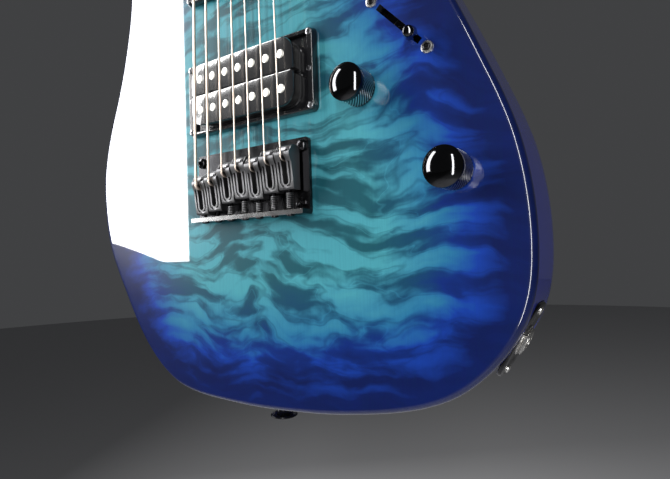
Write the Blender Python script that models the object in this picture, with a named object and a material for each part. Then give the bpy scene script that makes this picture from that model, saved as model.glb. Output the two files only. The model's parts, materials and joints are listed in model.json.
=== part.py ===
"""Seven-string electric guitar: solid body, bolt-on neck, fixed bridge, strings through the body.

Metres, +Z up the strings. The front faces -Y and the treble side is +X. The origin is where the
yoke of a hanger carries the head: on the centre line, level with the body's front face.
The dimensions below are millimetres, and solid() makes metres of them. Heights called "over the
bridge" count from the treble string's saddle, which lies at height BRIDGE.
"""
import math

import bmesh
import bpy
from mathutils import Matrix, Vector

MM = 0.001
GAP = 0.3                        # left between two pieces that touch

# Strings
STRINGS = 7
SCALE = 648.0                    # speaking length
HANGER_TO_NUT = 14.0
NUT = -HANGER_TO_NUT             # height of the nut's string break
BRIDGE = NUT - SCALE             # height of the treble saddle's string break
BRIDGE_PITCH = 10.8
NUT_PITCH = 6.83
STRING_RADII = [0.69, 0.53, 0.41, 0.33, 0.28, 0.25, 0.22]      # bass to treble
SADDLE_SETBACK = [8.7, 7.4, 3.6, 1.9, 3.2, 0.8, 0.0]           # intonation, bass to treble
STRING_AT_BRIDGE = -13.8         # the strings' depth coordinate, in front of the body
STRING_AT_NUT = -12.5

# Body
THICKNESS = 41.0
TOP_THICKNESS = 4.0
EDGE_RADIUS = 3.0
BUTT = -139.8                    # over the bridge
ARM_OUT = Vector((-0.881, 0.0, -0.474)).normalized()     # towards the player's forearm
ARM_START = 97.7                 # from the bridge's middle, along ARM_OUT
ARM_REACH = 60.0
ARM_RADIUS = 500.0
STRAP_BUTTON_HEIGHT = 11.0

# Neck
NECK_END = 152.0                 # over the bridge, as the next three
BODY_EDGE = 208.0
BOARD_END = 154.5
POCKET_DEPTH = 16.0
FRETS = 24
BOARD_FRONT = -10.9
BOARD_THICKNESS = 6.0
BOARD_RADIUS = 400.0
NECK_FRONT = BOARD_FRONT + BOARD_THICKNESS + GAP
WIDTH_AT_NUT = 48.0
WIDTH_AT_LAST_FRET = 68.0
LAST_FRET = SCALE / 2 ** (FRETS / 12)
ROD_DEPTH = 5.6                  # the truss rod's axis, behind the fretboard
HEAD_FRONT = -2.0
HEAD_THICKNESS = 13.0
NUT_THICKNESS = 4.5

# Tuners
POST_PITCH = 24.0                # along the neck
FIRST_POST = 33.0                # above the nut
POST_RADIUS = 3.0
POST_WAIST = 2.6
WORM_OFFSET = 7.2
WORM_DEPTH = 17.5
GEAR_TEETH = 15
TUNER_TILT = math.atan2(NUT_PITCH, POST_PITCH)

# Bridge, pickups and controls, over the bridge and from the centre line
PLATE_HALF_WIDTH = 42.5
PLATE_TOP = 10.3
PLATE_END = -31.0
PLATE_THICKNESS = 2.2
FLANGE_HEIGHT = 9.3
STRING_HOLE = -12.5
BRIDGE_PICKUP = 45.5
NECK_PICKUP = 129.0
RING_SIZE = (97.4, 45.0)
RING_HEIGHT = 4.1
PICKUP_SIZE = (88.6, 38.6)
BOBBIN_SIZE = (78.0, 18.3)
BOBBIN_CORNERS = (8.5, 1.5)      # outer and inner radius
COIL_SPACING = 18.7
PICKUP_FRONT = -9.8
VOLUME = (73.7, 29.4)
TONE = (120.5, -17.0)
KNOB_RADIUS = 9.25
KNOB_HEIGHT = 14.6
KNOB_DOME = 3.0
SWITCH = (95.8, 56.4)
SWITCH_RUN = Vector((0.686, 0.0, -0.727)).normalized()
SWITCH_PIVOT_DEPTH = 20.0
SWITCH_TILT = math.radians(25.0)
JACK = (141.7, -93.7)
JACK_OUT = Vector((0.872, 0.0, -0.489)).normalized()
JACK_DEPTH = 20.6

BLUE = (0.03, 0.07, 0.22, 0.25, 0.0)         # red, green, blue, roughness, metallic
QUILT = (0.05, 0.36, 0.52, 0.15, 0.0)
MAPLE = (0.55, 0.38, 0.2, 0.45, 0.0)
ROSEWOOD = (0.07, 0.035, 0.02, 0.55, 0.0)
BLACK_METAL = (0.02, 0.02, 0.022, 0.3, 1.0)
BLACK_PLASTIC = (0.015, 0.015, 0.016, 0.3, 0.0)
BONE = (0.03, 0.03, 0.03, 0.5, 0.0)
STEEL = (0.6, 0.6, 0.6, 0.3, 1.0)


# Geometry ------------------------------------------------------------------------------------

def up(height):
    """Height over the bridge to a height in the part's frame."""
    return BRIDGE + height


def loft(rings, closed=False):
    """Skin a run of rings; the ends are capped, or joined to each other when closed."""
    bm = bmesh.new()
    loops = [[bm.verts.new(point) for point in ring] for ring in rings]
    pairs = list(zip(loops, loops[1:])) + ([(loops[-1], loops[0])] if closed else [])
    for low, high in pairs:
        for i in range(len(low)):
            j = (i + 1) % len(low)
            bm.faces.new((low[i], low[j], high[j], high[i]))
    if not closed:
        bm.faces.new(loops[0])
        bm.faces.new(loops[-1])
    bmesh.ops.recalc_face_normals(bm, faces=bm.faces)
    return bm


def prism(outline, front, back):
    """An (x, z) outline given thickness from depth front to depth back."""
    return loft([[(x, depth, z) for x, z in outline] for depth in (front, back)])


def box(low, high):
    (x0, y0, z0), (x1, y1, z1) = low, high
    return prism([(x0, z0), (x1, z0), (x1, z1), (x0, z1)], y0, y1)


def turned(profile, base, axis, sides=24, closed=False, teeth_depth=0.0):
    """Turn (radius, height) pairs about an axis; every other side sinks by teeth_depth."""
    turn = Vector((0, 0, 1)).rotation_difference(Vector(axis)).to_matrix()
    rings = []
    for radius, height in profile:
        ring = []
        for i in range(sides):
            angle = 2 * math.pi * i / sides
            reach = radius - (teeth_depth if i % 2 else 0.0)
            spot = Vector((reach * math.cos(angle), reach * math.sin(angle), height))
            ring.append(Vector(base) + turn @ spot)
        rings.append(ring)
    return loft(rings, closed)


def merge(parts):
    """Several closed shapes in one mesh, for use as one Boolean operand."""
    whole = bmesh.new()
    for part in parts:
        mesh = bpy.data.meshes.new("part")
        part.to_mesh(mesh)
        whole.from_mesh(mesh)
        bpy.data.meshes.remove(mesh)
    return whole


def smooth(points, steps=3):
    """A Catmull-Rom curve through the points, which keeps its two ends."""
    ends = [2 * Vector(points[0]) - Vector(points[1])], [2 * Vector(points[-1]) - Vector(points[-2])]
    knots = ends[0] + [Vector(p) for p in points] + ends[1]
    curve = []
    for a, b, c, d in zip(knots, knots[1:], knots[2:], knots[3:]):
        for step in range(steps):
            t = step / steps
            curve.append(0.5 * (2 * b + (c - a) * t + (2 * a - 5 * b + 4 * c - d) * t * t
                                + (3 * b - a - 3 * c + d) * t ** 3))
    curve.append(knots[-2])
    return [(p.x, p.y) for p in curve]


def offset(outline, distance):
    """Move a clockwise outline inwards by distance, or outwards if it is negative."""
    moved = []
    for i, (x, z) in enumerate(outline):
        ahead = (Vector(outline[(i + 1) % len(outline)]) - Vector((x, z))).normalized()
        behind = (Vector((x, z)) - Vector(outline[i - 1])).normalized()
        along = (ahead + behind).normalized()
        mitred = distance / max(along.dot(ahead), 0.5)
        moved.append((x + along.y * mitred, z - along.x * mitred))
    return moved


def rounded_rectangle(centre, size, radius, steps=3):
    """Clockwise outline with round corners."""
    points = []
    for quarter, (sx, sz) in enumerate(((1, 1), (1, -1), (-1, -1), (-1, 1))):
        cx = centre[0] + sx * (size[0] / 2 - radius)
        cz = centre[1] + sz * (size[1] / 2 - radius)
        for step in range(steps + 1):
            angle = math.pi / 2 - (quarter + step / steps) * math.pi / 2
            points.append((cx + radius * math.cos(angle), cz + radius * math.sin(angle)))
    return points


# Objects -------------------------------------------------------------------------------------

def material(name, look):
    red, green, blue, roughness, metallic = look
    made = bpy.data.materials.new(name)
    made.use_nodes = True
    shader = made.node_tree.nodes["Principled BSDF"]
    shader.inputs["Base Color"].default_value = (red, green, blue, 1.0)
    shader.inputs["Roughness"].default_value = roughness
    shader.inputs["Metallic"].default_value = metallic
    return made


def solid(name, bm, look, origin=(0, 0, 0)):
    """Make the object in metres, with its own origin, for a moving piece on its joint's axis."""
    bmesh.ops.translate(bm, verts=bm.verts, vec=-Vector(origin))
    bmesh.ops.scale(bm, verts=bm.verts, vec=(MM, MM, MM))
    mesh = bpy.data.meshes.new(name)
    bm.to_mesh(mesh)
    bm.free()
    mesh.shade_smooth()
    mesh.set_sharp_from_angle(angle=math.radians(35))
    made = bpy.data.objects.new(name, mesh)
    made.location = Vector(origin) * MM
    mesh.materials.append(material(name, look))
    bpy.context.collection.objects.link(made)
    return made


def shape_with(target, bm, operation):
    """Cut the shape from the target or join it on, with a hidden operand."""
    tool = solid(f"{target.name}_tool_{len(target.modifiers)}", bm, STEEL)
    tool.hide_render = True
    tool.hide_set(True)
    tool.display_type = 'WIRE'
    modifier = target.modifiers.new(operation.lower(), 'BOOLEAN')
    modifier.operation = operation
    modifier.solver = 'EXACT'
    modifier.object = tool


def cut(target, bm):
    shape_with(target, bm, 'DIFFERENCE')


def join(target, bm):
    shape_with(target, bm, 'UNION')


# Places --------------------------------------------------------------------------------------

def string_x(number, height):
    """A string's place across the neck at a height over the bridge."""
    pitch = BRIDGE_PITCH + (NUT_PITCH - BRIDGE_PITCH) * height / SCALE
    return (number - (STRINGS - 1) / 2) * pitch


def string_depth(height):
    return STRING_AT_BRIDGE + (STRING_AT_NUT - STRING_AT_BRIDGE) * height / SCALE


def half_width(height):
    """Half the fretboard's width at a height over the bridge."""
    share = (height - LAST_FRET) / (SCALE - LAST_FRET)
    return (WIDTH_AT_LAST_FRET + (WIDTH_AT_NUT - WIDTH_AT_LAST_FRET) * share) / 2


def post_place(number):
    """A tuner post's (x, height) in the part's frame: its string runs straight past it."""
    x = string_x(number, SCALE) - POST_WAIST - GAP - STRING_RADII[number]
    return x, NUT + FIRST_POST + number * POST_PITCH


def tuner_point(number, out, along, depth):
    """A point of a tuner: out towards its button, along the head's edge, and its depth."""
    x, z = post_place(number)
    cos, sin = math.cos(TUNER_TILT), math.sin(TUNER_TILT)
    return Vector((x - out * cos + along * sin, depth, z + out * sin + along * cos))


def body_outline():
    """Clockwise from the bass horn's root: up the horn, across the neck and round the butt."""
    bass_cutaway = smooth([(-41, BODY_EDGE), (-48, 204), (-60, 206), (-78, 222), (-97, 254), (-112, 288),
                           (-124, 301)])
    bass_side = smooth([(-124, 301), (-132, 296), (-136, 270), (-131, 225), (-118.5, 175),
                        (-112, 133), (-123.4, 82.3), (-143, 33), (-150.6, 0), (-147.5, -38),
                        (-131, -71.5), (-107.1, -107.4), (-80.2, -129.5), (-50, -138), (0, BUTT)])
    treble_side = smooth([(0, BUTT), (50, -136.4), (99.8, -126.5), (128.6, -110), (148.6, -82.3),
                          (154, -47.8), (148.1, -2.6), (128.3, 48.9), (107, 100), (105.5, 140),
                          (114, 190), (121, 232), (118, 256), (111, 260)])
    treble_cutaway = smooth([(111, 260), (103, 247), (90, 218), (73, 191), (59, 179), (49, 181),
                             (43.5, 191), (41, BODY_EDGE)])
    counter = bass_cutaway[:-1] + bass_side[:-1] + treble_side[:-1] + treble_cutaway
    return [(x, up(z)) for x, z in reversed(counter)]


def control_outline():
    """Clockwise outline of the control cavity behind the knobs, the switch and the jack."""
    points = [(57, 24), (59, 50), (71, 84), (88, 88), (110, 64), (126, 26), (137, -10), (140, -52),
              (134, -78), (121, -94), (104, -90), (99, -50), (96, -16), (76, 10), (57, 24)]
    return [(x, up(z)) for x, z in smooth(points, 3)[:-1]]


def head_outline():
    first = tuner_point(0, 13.0, -14.0, 0)
    last = tuner_point(STRINGS - 1, 13.0, 10.0, 0)
    bass = smooth([(-23, -3), (-24.5, 4), (-30, 13), (first.x, first.z - NUT)], 4)
    tip = smooth([(last.x, last.z - NUT), (14, 198), (25, 208), (42, 213)], 4)
    treble = smooth([(42, 213), (35.5, 195), (31, 160), (29, 110), (29, 60), (28, 28), (24.5, 8),
                     (23, -3)], 4)
    return [(x, NUT + z) for x, z in bass + tip[:-1] + treble]


# Wood ----------------------------------------------------------------------------------------

def pickup_well(centre, depth):
    """The hollow that a pickup hangs in."""
    reach = PICKUP_SIZE[0] / 2 + 3, PICKUP_SIZE[1] / 2 + 0.8
    return box((-reach[0], -1, up(centre - reach[1])), (reach[0], depth, up(centre + reach[1])))


def neck_pocket(front, depth):
    return box((-half_width(NECK_END) - GAP, front, up(NECK_END - GAP)),
               (half_width(NECK_END) + GAP, depth, up(BODY_EDGE + 10)))


def string_bores(front, back, radius):
    return merge([turned([(radius, front), (radius, back)],
                         (string_x(i, 0), 0, up(STRING_HOLE)), (0, 1, 0), 8)
                  for i in range(STRINGS)])


def switch_slot(front, back, length, width):
    across = Vector((SWITCH_RUN.z, 0, -SWITCH_RUN.x))
    corners = [SWITCH_RUN * (a * length / 2) + across * (b * width / 2)
               for a, b in ((1, 1), (1, -1), (-1, -1), (-1, 1))]
    return prism([(SWITCH[0] + c.x, up(SWITCH[1]) + c.z) for c in corners], front, back)


def neck_bolts(radius, front, back):
    """Four bolts in a rectangle, seen from the back."""
    return merge([turned([(radius, front), (radius, back)], (x, 0, up(z)), (0, 1, 0), 8)
                  for x in (-19, 19) for z in (BODY_EDGE - 47, BODY_EDGE - 9)])


def arm_contour():
    """The thin wedge shaved off the top where the player's forearm lies, as a cylinder's curve."""
    steps = [ARM_REACH * i / 12 for i in range(13)]
    section = [(reach, reach ** 2 / (2 * ARM_RADIUS)) for reach in steps]
    section += [(ARM_REACH, -5), (-0.5, -5), (-0.5, 0)]
    along = Vector((-ARM_OUT.z, 0, ARM_OUT.x))
    middle = Vector((0, 0, BRIDGE))
    return loft([[middle + ARM_OUT * (ARM_START + reach) + along * place + Vector((0, depth, 0))
                  for reach, depth in section] for place in (-140, 140)])


def make_body():
    outline = body_outline()
    inner = offset(outline, EDGE_RADIUS)
    middle = offset(outline, EDGE_RADIUS * 0.3)
    front = TOP_THICKNESS + GAP
    rings = [(outline, front), (outline, THICKNESS - EDGE_RADIUS),
             (middle, THICKNESS - EDGE_RADIUS * 0.3), (inner, THICKNESS)]
    body = solid("body", loft([[(x, y, z) for x, z in ring] for ring, y in rings]), BLUE)
    cut(body, merge([pickup_well(BRIDGE_PICKUP, 24), pickup_well(NECK_PICKUP, 24)]))
    cut(body, neck_pocket(-1, POCKET_DEPTH))
    cut(body, prism(control_outline(), 9, THICKNESS + 1))
    cut(body, prism(offset(control_outline(), -5), THICKNESS - 2.5, THICKNESS + 2))
    cut(body, string_bores(0, THICKNESS + 1, 1.8))
    cut(body, neck_bolts(2.5, 0, THICKNESS + 1))
    cut(body, merge([turned([(4.2, 0), (4.2, 12)], (x, 0, up(z)), (0, 1, 0), 12)
                     for x, z in (VOLUME, TONE)]))
    cut(body, switch_slot(0, 12, 46, 9))
    jack_centre = Vector((JACK[0], JACK_DEPTH, up(JACK[1])))
    cut(body, turned([(9.5, -32), (9.5, 10)], jack_centre, JACK_OUT, 16))
    side = Vector((-JACK_OUT.z, 0, JACK_OUT.x))
    seat = [jack_centre + side * a + JACK_OUT * b
            for a, b in ((21, -1.5), (21, 12), (-21, 12), (-21, -1.5))]
    cut(body, prism([(p.x, p.z) for p in seat], JACK_DEPTH - 14, JACK_DEPTH + 14))
    belly_start, belly_radius, belly_slope = -52.0, 170.0, math.radians(11)
    axis = Vector((-math.cos(belly_slope), -math.sin(belly_slope), 0))
    cut(body, turned([(belly_radius, -60), (belly_radius, 140)],
                     (belly_start, THICKNESS + belly_radius, up(128)), axis, 64))


def make_maple_top():
    outline = body_outline()
    rings = [(offset(outline, EDGE_RADIUS), 0), (offset(outline, EDGE_RADIUS * 0.3), EDGE_RADIUS * 0.3),
             (outline, EDGE_RADIUS), (outline, TOP_THICKNESS)]
    top = solid("maple_top", loft([[(x, y, z) for x, z in ring] for ring, y in rings]), QUILT)
    cut(top, merge([pickup_well(BRIDGE_PICKUP, 6), pickup_well(NECK_PICKUP, 6)]))
    cut(top, neck_pocket(-1, 6))
    cut(top, string_bores(-1, 6, 1.8))
    cut(top, merge([turned([(4.2, -1), (4.2, 6)], (x, 0, up(z)), (0, 1, 0), 12)
                    for x, z in (VOLUME, TONE)]))
    cut(top, switch_slot(-1, 6, 31, 3.2))
    cut(top, arm_contour())


def neck_ring(height, width, depth, squareness, segments=10):
    """A section of the neck: flat under the fretboard, a rounded D behind."""
    ring = []
    for i in range(segments + 1):
        angle = math.pi * i / segments
        cos, sin = math.cos(angle), max(math.sin(angle), 0.0)
        x = math.copysign(abs(cos) ** (2 / squareness), cos) * width
        ring.append((x, NECK_FRONT + depth * sin ** (2 / squareness), up(height)))
    return ring


def make_neck():
    heel = POCKET_DEPTH - GAP - NECK_FRONT
    sections = [(NECK_END, heel, 10), (BODY_EDGE + 1, heel, 10), (BODY_EDGE + 16, 17.0, 4),
                (BODY_EDGE + 34, 14.9, 2.6), (SCALE / 2, 14.6, 2.4), (SCALE - 37, 12.7, 2.4),
                (SCALE - 14, 13.0, 2.5), (SCALE + NUT_THICKNESS, 15.2, 4)]
    neck = solid("neck", loft([neck_ring(z, half_width(z), depth, n) for z, depth, n in sections]), MAPLE)
    join(neck, prism(head_outline(), HEAD_FRONT, HEAD_FRONT + HEAD_THICKNESS))
    cut(neck, box((-3.4, NECK_FRONT - 1, up(172)), (3.4, NECK_FRONT + ROD_DEPTH + 3.5, up(SCALE + 20))))
    cut(neck, neck_bolts(2.5, 2, THICKNESS))
    cut(neck, merge([turned([(5.3, HEAD_FRONT - 1), (5.3, HEAD_FRONT + HEAD_THICKNESS + 1)],
                            tuner_point(i, 0, 0, 0), (0, 1, 0), 10) for i in range(STRINGS)]))


def board_ring(height, rise=0.0, depth=None, segments=4):
    """The fretboard's crowned front from edge to edge, then its straight back."""
    width = half_width(height) - (0.4 if rise else 0.0)
    front = []
    for i in range(segments + 1):
        x = width * (2 * i / segments - 1)
        front.append((x, BOARD_FRONT - rise + x * x / (2 * BOARD_RADIUS), up(height)))
    back = BOARD_FRONT + BOARD_THICKNESS if depth is None else BOARD_FRONT + depth
    return front + [(width, back, up(height)), (-width, back, up(height))]


def make_fretboard():
    board = solid("fretboard", loft([board_ring(BOARD_END), board_ring(SCALE)]), ROSEWOOD)
    frets = []
    for number in range(1, FRETS + 1):
        place = SCALE / 2 ** (number / 12)
        sections = [(-1.2, 0.1), (0.0, 1.1), (1.2, 0.1)]
        frets.append(loft([board_ring(place + z, rise, 2.5) for z, rise in sections]))
    join(board, merge(frets))


def make_nut():
    low = NECK_FRONT - GAP
    half = WIDTH_AT_NUT / 2
    nut = solid("nut", box((-half, low, NUT + GAP), (half, STRING_AT_NUT - 0.9, NUT + NUT_THICKNESS)), BONE)
    slots = []
    for i in range(STRINGS):
        x, reach = string_x(i, SCALE), STRING_RADII[i] + GAP
        slots.append(box((x - reach, STRING_AT_NUT - 3, NUT - 1), (x + reach, STRING_AT_NUT + reach + 0.5,
                                                                  NUT + NUT_THICKNESS + 1)))
    cut(nut, merge(slots))


def make_truss_rod():
    rod = turned([(2.6, 0), (2.6, SCALE - 174 + 4), (3.0, SCALE - 174 + 4), (3.0, SCALE - 174 + 16)],
                 (0, NECK_FRONT + ROD_DEPTH, up(174)), (0, 0, 1), 10)
    solid("truss_rod", rod, STEEL)
    outline = [(x, NUT + z) for x, z in smooth([(-11, 7), (-11.5, 14), (-7, 28), (0, 36), (7, 28),
                                                (11.5, 14), (11, 7)], 3)]
    solid("truss_rod_cover", prism(outline, HEAD_FRONT - GAP - 2, HEAD_FRONT - GAP), BLACK_PLASTIC)


# Metalwork -----------------------------------------------------------------------------------

def make_tuner(number):
    """Housing with its bushing and nut, worm shaft with its button, and post with its gear."""
    back = HEAD_FRONT + HEAD_THICKNESS + GAP
    corners = [tuner_point(number, out, along, 0)
               for out, along in ((-8, -11), (9, -11), (9, 7.5), (-8, 7.5))]
    housing = solid(f"tuner_housing_{number + 1}",
                    prism([(c.x, c.z) for c in corners], back, back + 10.7), BLACK_METAL)
    post = tuner_point(number, 0, 0, 0)
    out = (tuner_point(number, 1, 0, 0) - post).normalized()
    join(housing, turned([(4.7, HEAD_FRONT - 1), (4.7, back + 1)], post, (0, 1, 0), 12))
    join(housing, turned([(6.3, HEAD_FRONT - GAP - 2.2), (6.3, HEAD_FRONT - GAP)], post, (0, 1, 0), 6))
    cut(housing, turned([(3.35, -20), (3.35, back + 5)], post, (0, 1, 0), 12))
    cut(housing, turned([(6.3, back + 2.2), (6.3, back + 20)], post, (0, 1, 0), 12))
    worm = tuner_point(number, 0, -WORM_OFFSET, WORM_DEPTH)
    cut(housing, turned([(2.5, -6.5), (2.5, 12)], worm, out, 8))

    shaft = [(-6, 1.9, 1.9), (20, 1.9, 1.9), (21, 4.6, 3.4), (25, 8.4, 4.2), (31, 8.8, 4.2), (34, 6.5, 2.8)]
    along = (tuner_point(number, 0, 1, 0) - post).normalized()
    rings = []
    for reach, wide, thick in shaft:
        angles = [2 * math.pi * i / 10 for i in range(10)]
        rings.append([worm + out * reach + along * wide * math.cos(a)
                      + Vector((0, thick * math.sin(a), 0)) for a in angles])
    solid(f"tuner_button_{number + 1}", loft(rings), BLACK_METAL, worm)

    tip = HEAD_FRONT - 13
    profile = [(POST_RADIUS, tip), (POST_RADIUS, tip + 6), (POST_WAIST, tip + 7), (POST_WAIST, tip + 10.5),
               (POST_RADIUS, tip + 11), (POST_RADIUS, WORM_DEPTH + 2.6)]
    rod = solid(f"tuner_post_{number + 1}", turned(profile, post, (0, 1, 0), 12), BLACK_METAL, post)
    gear = [(5.0, WORM_DEPTH - 2), (5.0, WORM_DEPTH + 2)]
    join(rod, turned(gear, post, (0, 1, 0), 2 * GEAR_TEETH, teeth_depth=0.8))


def make_string_retainer():
    """A bar behind the nut that holds the strings down in their slots, on two pillars."""
    height, depth, reach = NUT + 21, -13.0, 25.5
    bar = solid("string_retainer", turned([(2.2, -reach), (2.2, reach)], (0, depth, height), (1, 0, 0), 12),
                BLACK_METAL)
    join(bar, merge([turned([(1.8, depth + 0.5), (1.8, HEAD_FRONT - GAP)], (x, 0, height), (0, 1, 0), 10)
                     for x in (-23.5, 23.5)]))


def make_bridge():
    top, front = up(PLATE_TOP), -GAP - PLATE_THICKNESS
    outline = rounded_rectangle((0, up((PLATE_TOP + PLATE_END) / 2)),
                                (2 * PLATE_HALF_WIDTH, PLATE_TOP - PLATE_END), 2.0)
    plate = solid("bridge_plate", prism(outline, front, -GAP), BLACK_METAL)
    join(plate, box((-PLATE_HALF_WIDTH, -FLANGE_HEIGHT, up(PLATE_END)),
                    (PLATE_HALF_WIDTH, front + 1, up(PLATE_END + 2.5))))
    cut(plate, string_bores(-20, 2, 1.8))


def make_saddle(number):
    """A block with its string break in front, a long slot for the string and a bored rear wall."""
    x, height = string_x(number, 0), up(-SADDLE_SETBACK[number])
    crown = STRING_AT_BRIDGE + STRING_RADII[number] + GAP
    half = BRIDGE_PITCH / 2 - 0.35
    side = [(5.5, -4), (5.5, -10.4), (1.6, crown), (0, crown), (-7, -10.6), (-18, -9.4), (-18, -4)]
    rings = [[(x + reach, depth, height + z) for z, depth in side] for reach in (-half, half)]
    saddle = solid(f"saddle_{number + 1}", loft(rings), BLACK_METAL, (x, -6.5, height))
    cut(saddle, box((x - 1.7, -20, height - 15), (x + 1.7, 0, height)))
    cut(saddle, turned([(1.8, -20), (1.8, -14)], (x, -6.8, height), (0, 0, 1), 8))


def make_string(number):
    """From its ball end behind the body, over the saddle and the nut, to its post."""
    radius = STRING_RADII[number]
    saddle = -SADDLE_SETBACK[number]
    post_z = post_place(number)[1]
    x_bridge, x_nut = string_x(number, 0), string_x(number, SCALE)
    path = [(x_bridge, THICKNESS - 6, up(STRING_HOLE)), (x_bridge, THICKNESS / 2, up(STRING_HOLE)),
            (x_bridge, -0.5, up(STRING_HOLE)), (x_bridge, STRING_AT_BRIDGE + 0.9, up(saddle - 2.5)),
            (x_bridge, STRING_AT_BRIDGE + 0.1, up(saddle - 1.9)),
            (x_bridge, STRING_AT_BRIDGE, up(saddle - 1.0)),
            (string_x(number, 60), string_depth(60), up(60)),
            (string_x(number, 480), string_depth(480), up(480)),
            (x_nut, STRING_AT_NUT, NUT + 1), (x_nut, STRING_AT_NUT + 0.1, NUT + NUT_THICKNESS),
            (x_nut, -9.6, NUT + 20), (x_nut, -9.5, NUT + 22), (x_nut, HEAD_FRONT - 4.3, post_z)]
    curve = bpy.data.curves.new(f"string_{number + 1}", 'CURVE')
    curve.dimensions = '3D'
    curve.bevel_depth = radius * MM
    curve.bevel_resolution = 1
    curve.use_fill_caps = True
    spline = curve.splines.new('POLY')
    spline.points.add(len(path) - 1)
    for point, place in zip(spline.points, path):
        point.co = (*(Vector(place) * MM), 1.0)
    curve.materials.append(material(curve.name, STEEL))
    made = bpy.data.objects.new(curve.name, curve)
    bpy.context.collection.objects.link(made)


def make_neck_plate():
    back = THICKNESS + GAP
    outline = rounded_rectangle((0, up(BODY_EDGE - 28)), (51, 50), 5)
    plate = solid("neck_plate", prism(outline, back, back + 2), BLACK_METAL)
    join(plate, neck_bolts(2.2, 6, back + 1))
    join(plate, neck_bolts(4.2, back + 1.2, back + 3.2))


def make_strap_button(name, base, axis):
    top = STRAP_BUTTON_HEIGHT
    profile = [(7.2, 0), (7.2, 1.0), (4.3, 2.4), (4.2, 6.0), (8.2, top - 2.2), (8.2, top - 1.2), (5.6, top)]
    solid(name, turned(profile, base, axis, 16), BLACK_METAL)


# Electrics -----------------------------------------------------------------------------------

def bobbin_outline(centre, side):
    """One coil's top, round at the two corners that face away from the other coil."""
    half_wide, half_high = BOBBIN_SIZE[0] / 2, BOBBIN_SIZE[1] / 2
    middle = up(centre + side * COIL_SPACING / 2)
    points = []
    for sx, sz in ((1, 1), (1, -1), (-1, -1), (-1, 1)):
        radius = BOBBIN_CORNERS[0] if sz == side else BOBBIN_CORNERS[1]
        start = math.atan2(sz, sx) + math.pi / 4
        for step in range(7):
            angle = start - math.pi / 12 * step
            points.append((sx * (half_wide - radius) + radius * math.cos(angle),
                           middle + sz * (half_high - radius) + radius * math.sin(angle)))
    return points


def make_pickup(name, centre):
    """Two bobbins on a base, which slides in its ring."""
    base = prism(rounded_rectangle((0, up(centre)), PICKUP_SIZE, 3), -1.5, 14)
    pickup = solid(name, base, BLACK_PLASTIC, (0, 0, up(centre)))
    for side in (-1, 1):
        join(pickup, prism(bobbin_outline(centre, side), PICKUP_FRONT, -1))


def make_pickup_ring(name, centre):
    ring = solid(name, prism(rounded_rectangle((0, up(centre)), RING_SIZE, 3), -RING_HEIGHT, -GAP),
                 BLACK_PLASTIC)
    opening = (PICKUP_SIZE[0] + 2 * GAP, PICKUP_SIZE[1] + 2 * GAP)
    cut(ring, prism(rounded_rectangle((0, up(centre)), opening, 2), -10, 2))


def make_knob_and_pot(kind, place):
    spot = (place[0], 0, up(place[1]))
    dome = [(KNOB_RADIUS * math.cos(a), KNOB_HEIGHT + KNOB_DOME * math.sin(a))
            for a in (math.radians(d) for d in (0, 30, 60, 85))]
    profile = [(3.3, 11.0), (3.3, 3.6), (6.8, 3.6), (6.8, 0.8), (KNOB_RADIUS, 0.8)] + dome
    solid(f"{kind}_knob", turned(profile, spot, (0, -1, 0), 24), BLACK_METAL, spot)
    pot = [(12, -20), (12, -9.4), (3.8, -9.4), (3.8, 0.3), (5.6, 0.3), (5.6, 3.0), (3.0, 3.0), (3.0, 10.4)]
    solid(f"{kind}_pot", turned(pot, spot, (0, -1, 0), 20), STEEL)


def make_switch():
    pivot = Vector((SWITCH[0], SWITCH_PIVOT_DEPTH, up(SWITCH[1])))
    across = Vector((-SWITCH_RUN.z, 0, SWITCH_RUN.x))
    turn = Matrix((SWITCH_RUN, (0, 1, 0), across)).transposed().to_3x3()

    def block(low, high):
        """A box along the slot, centred on the pivot."""
        made = box(low, high)
        bmesh.ops.transform(made, matrix=Matrix.Translation(pivot) @ turn.to_4x4(), verts=made.verts)
        return made

    body = solid("switch_body", block((-24, -10.7, -6), (24, 8, 6)), STEEL)
    cut(body, block((-19, -12, -2.6), (19, 5, 2.6)))
    tip = (Vector((0, -1, 0)) * math.cos(SWITCH_TILT) + SWITCH_RUN * math.sin(SWITCH_TILT)).normalized()
    blade = turned([(1.3, -2.0), (1.3, 26.0), (3.3, 26.0), (3.4, 28.5), (2.7, 35.8), (2.0, 37.0)],
                   pivot, tip, 16)
    solid("switch_lever", blade, BLACK_PLASTIC, pivot)


def make_jack():
    centre = Vector((JACK[0], JACK_DEPTH, up(JACK[1])))
    side = Vector((JACK_OUT.z, 0, -JACK_OUT.x))
    face = Matrix((side, (0, 1, 0), JACK_OUT)).transposed().to_4x4()
    outline = rounded_rectangle((0, 0), (38, 25), 8, 4)
    plate = loft([[(x, y, z) for x, y in outline] for z in (-1.1, 0.9)])
    bmesh.ops.transform(plate, matrix=Matrix.Translation(centre) @ face, verts=plate.verts)
    made = solid("jack_plate", plate, BLACK_METAL)
    cut(made, turned([(5.0, -5), (5.0, 5)], centre, JACK_OUT, 16))
    profile = [(3.25, 3.2), (3.25, -24), (5.0, -24), (5.0, -14), (8.6, -14), (8.6, -3), (4.6, -3),
               (4.6, 1.3), (6.6, 1.3), (6.6, 3.2)]
    solid("jack_socket", turned(profile, centre, JACK_OUT, 16, closed=True), STEEL)


def make_cavity_cover():
    outline = offset(control_outline(), -5 + GAP)
    solid("cavity_cover", prism(outline, THICKNESS - 2.5 + GAP, THICKNESS), BLACK_PLASTIC)


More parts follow.
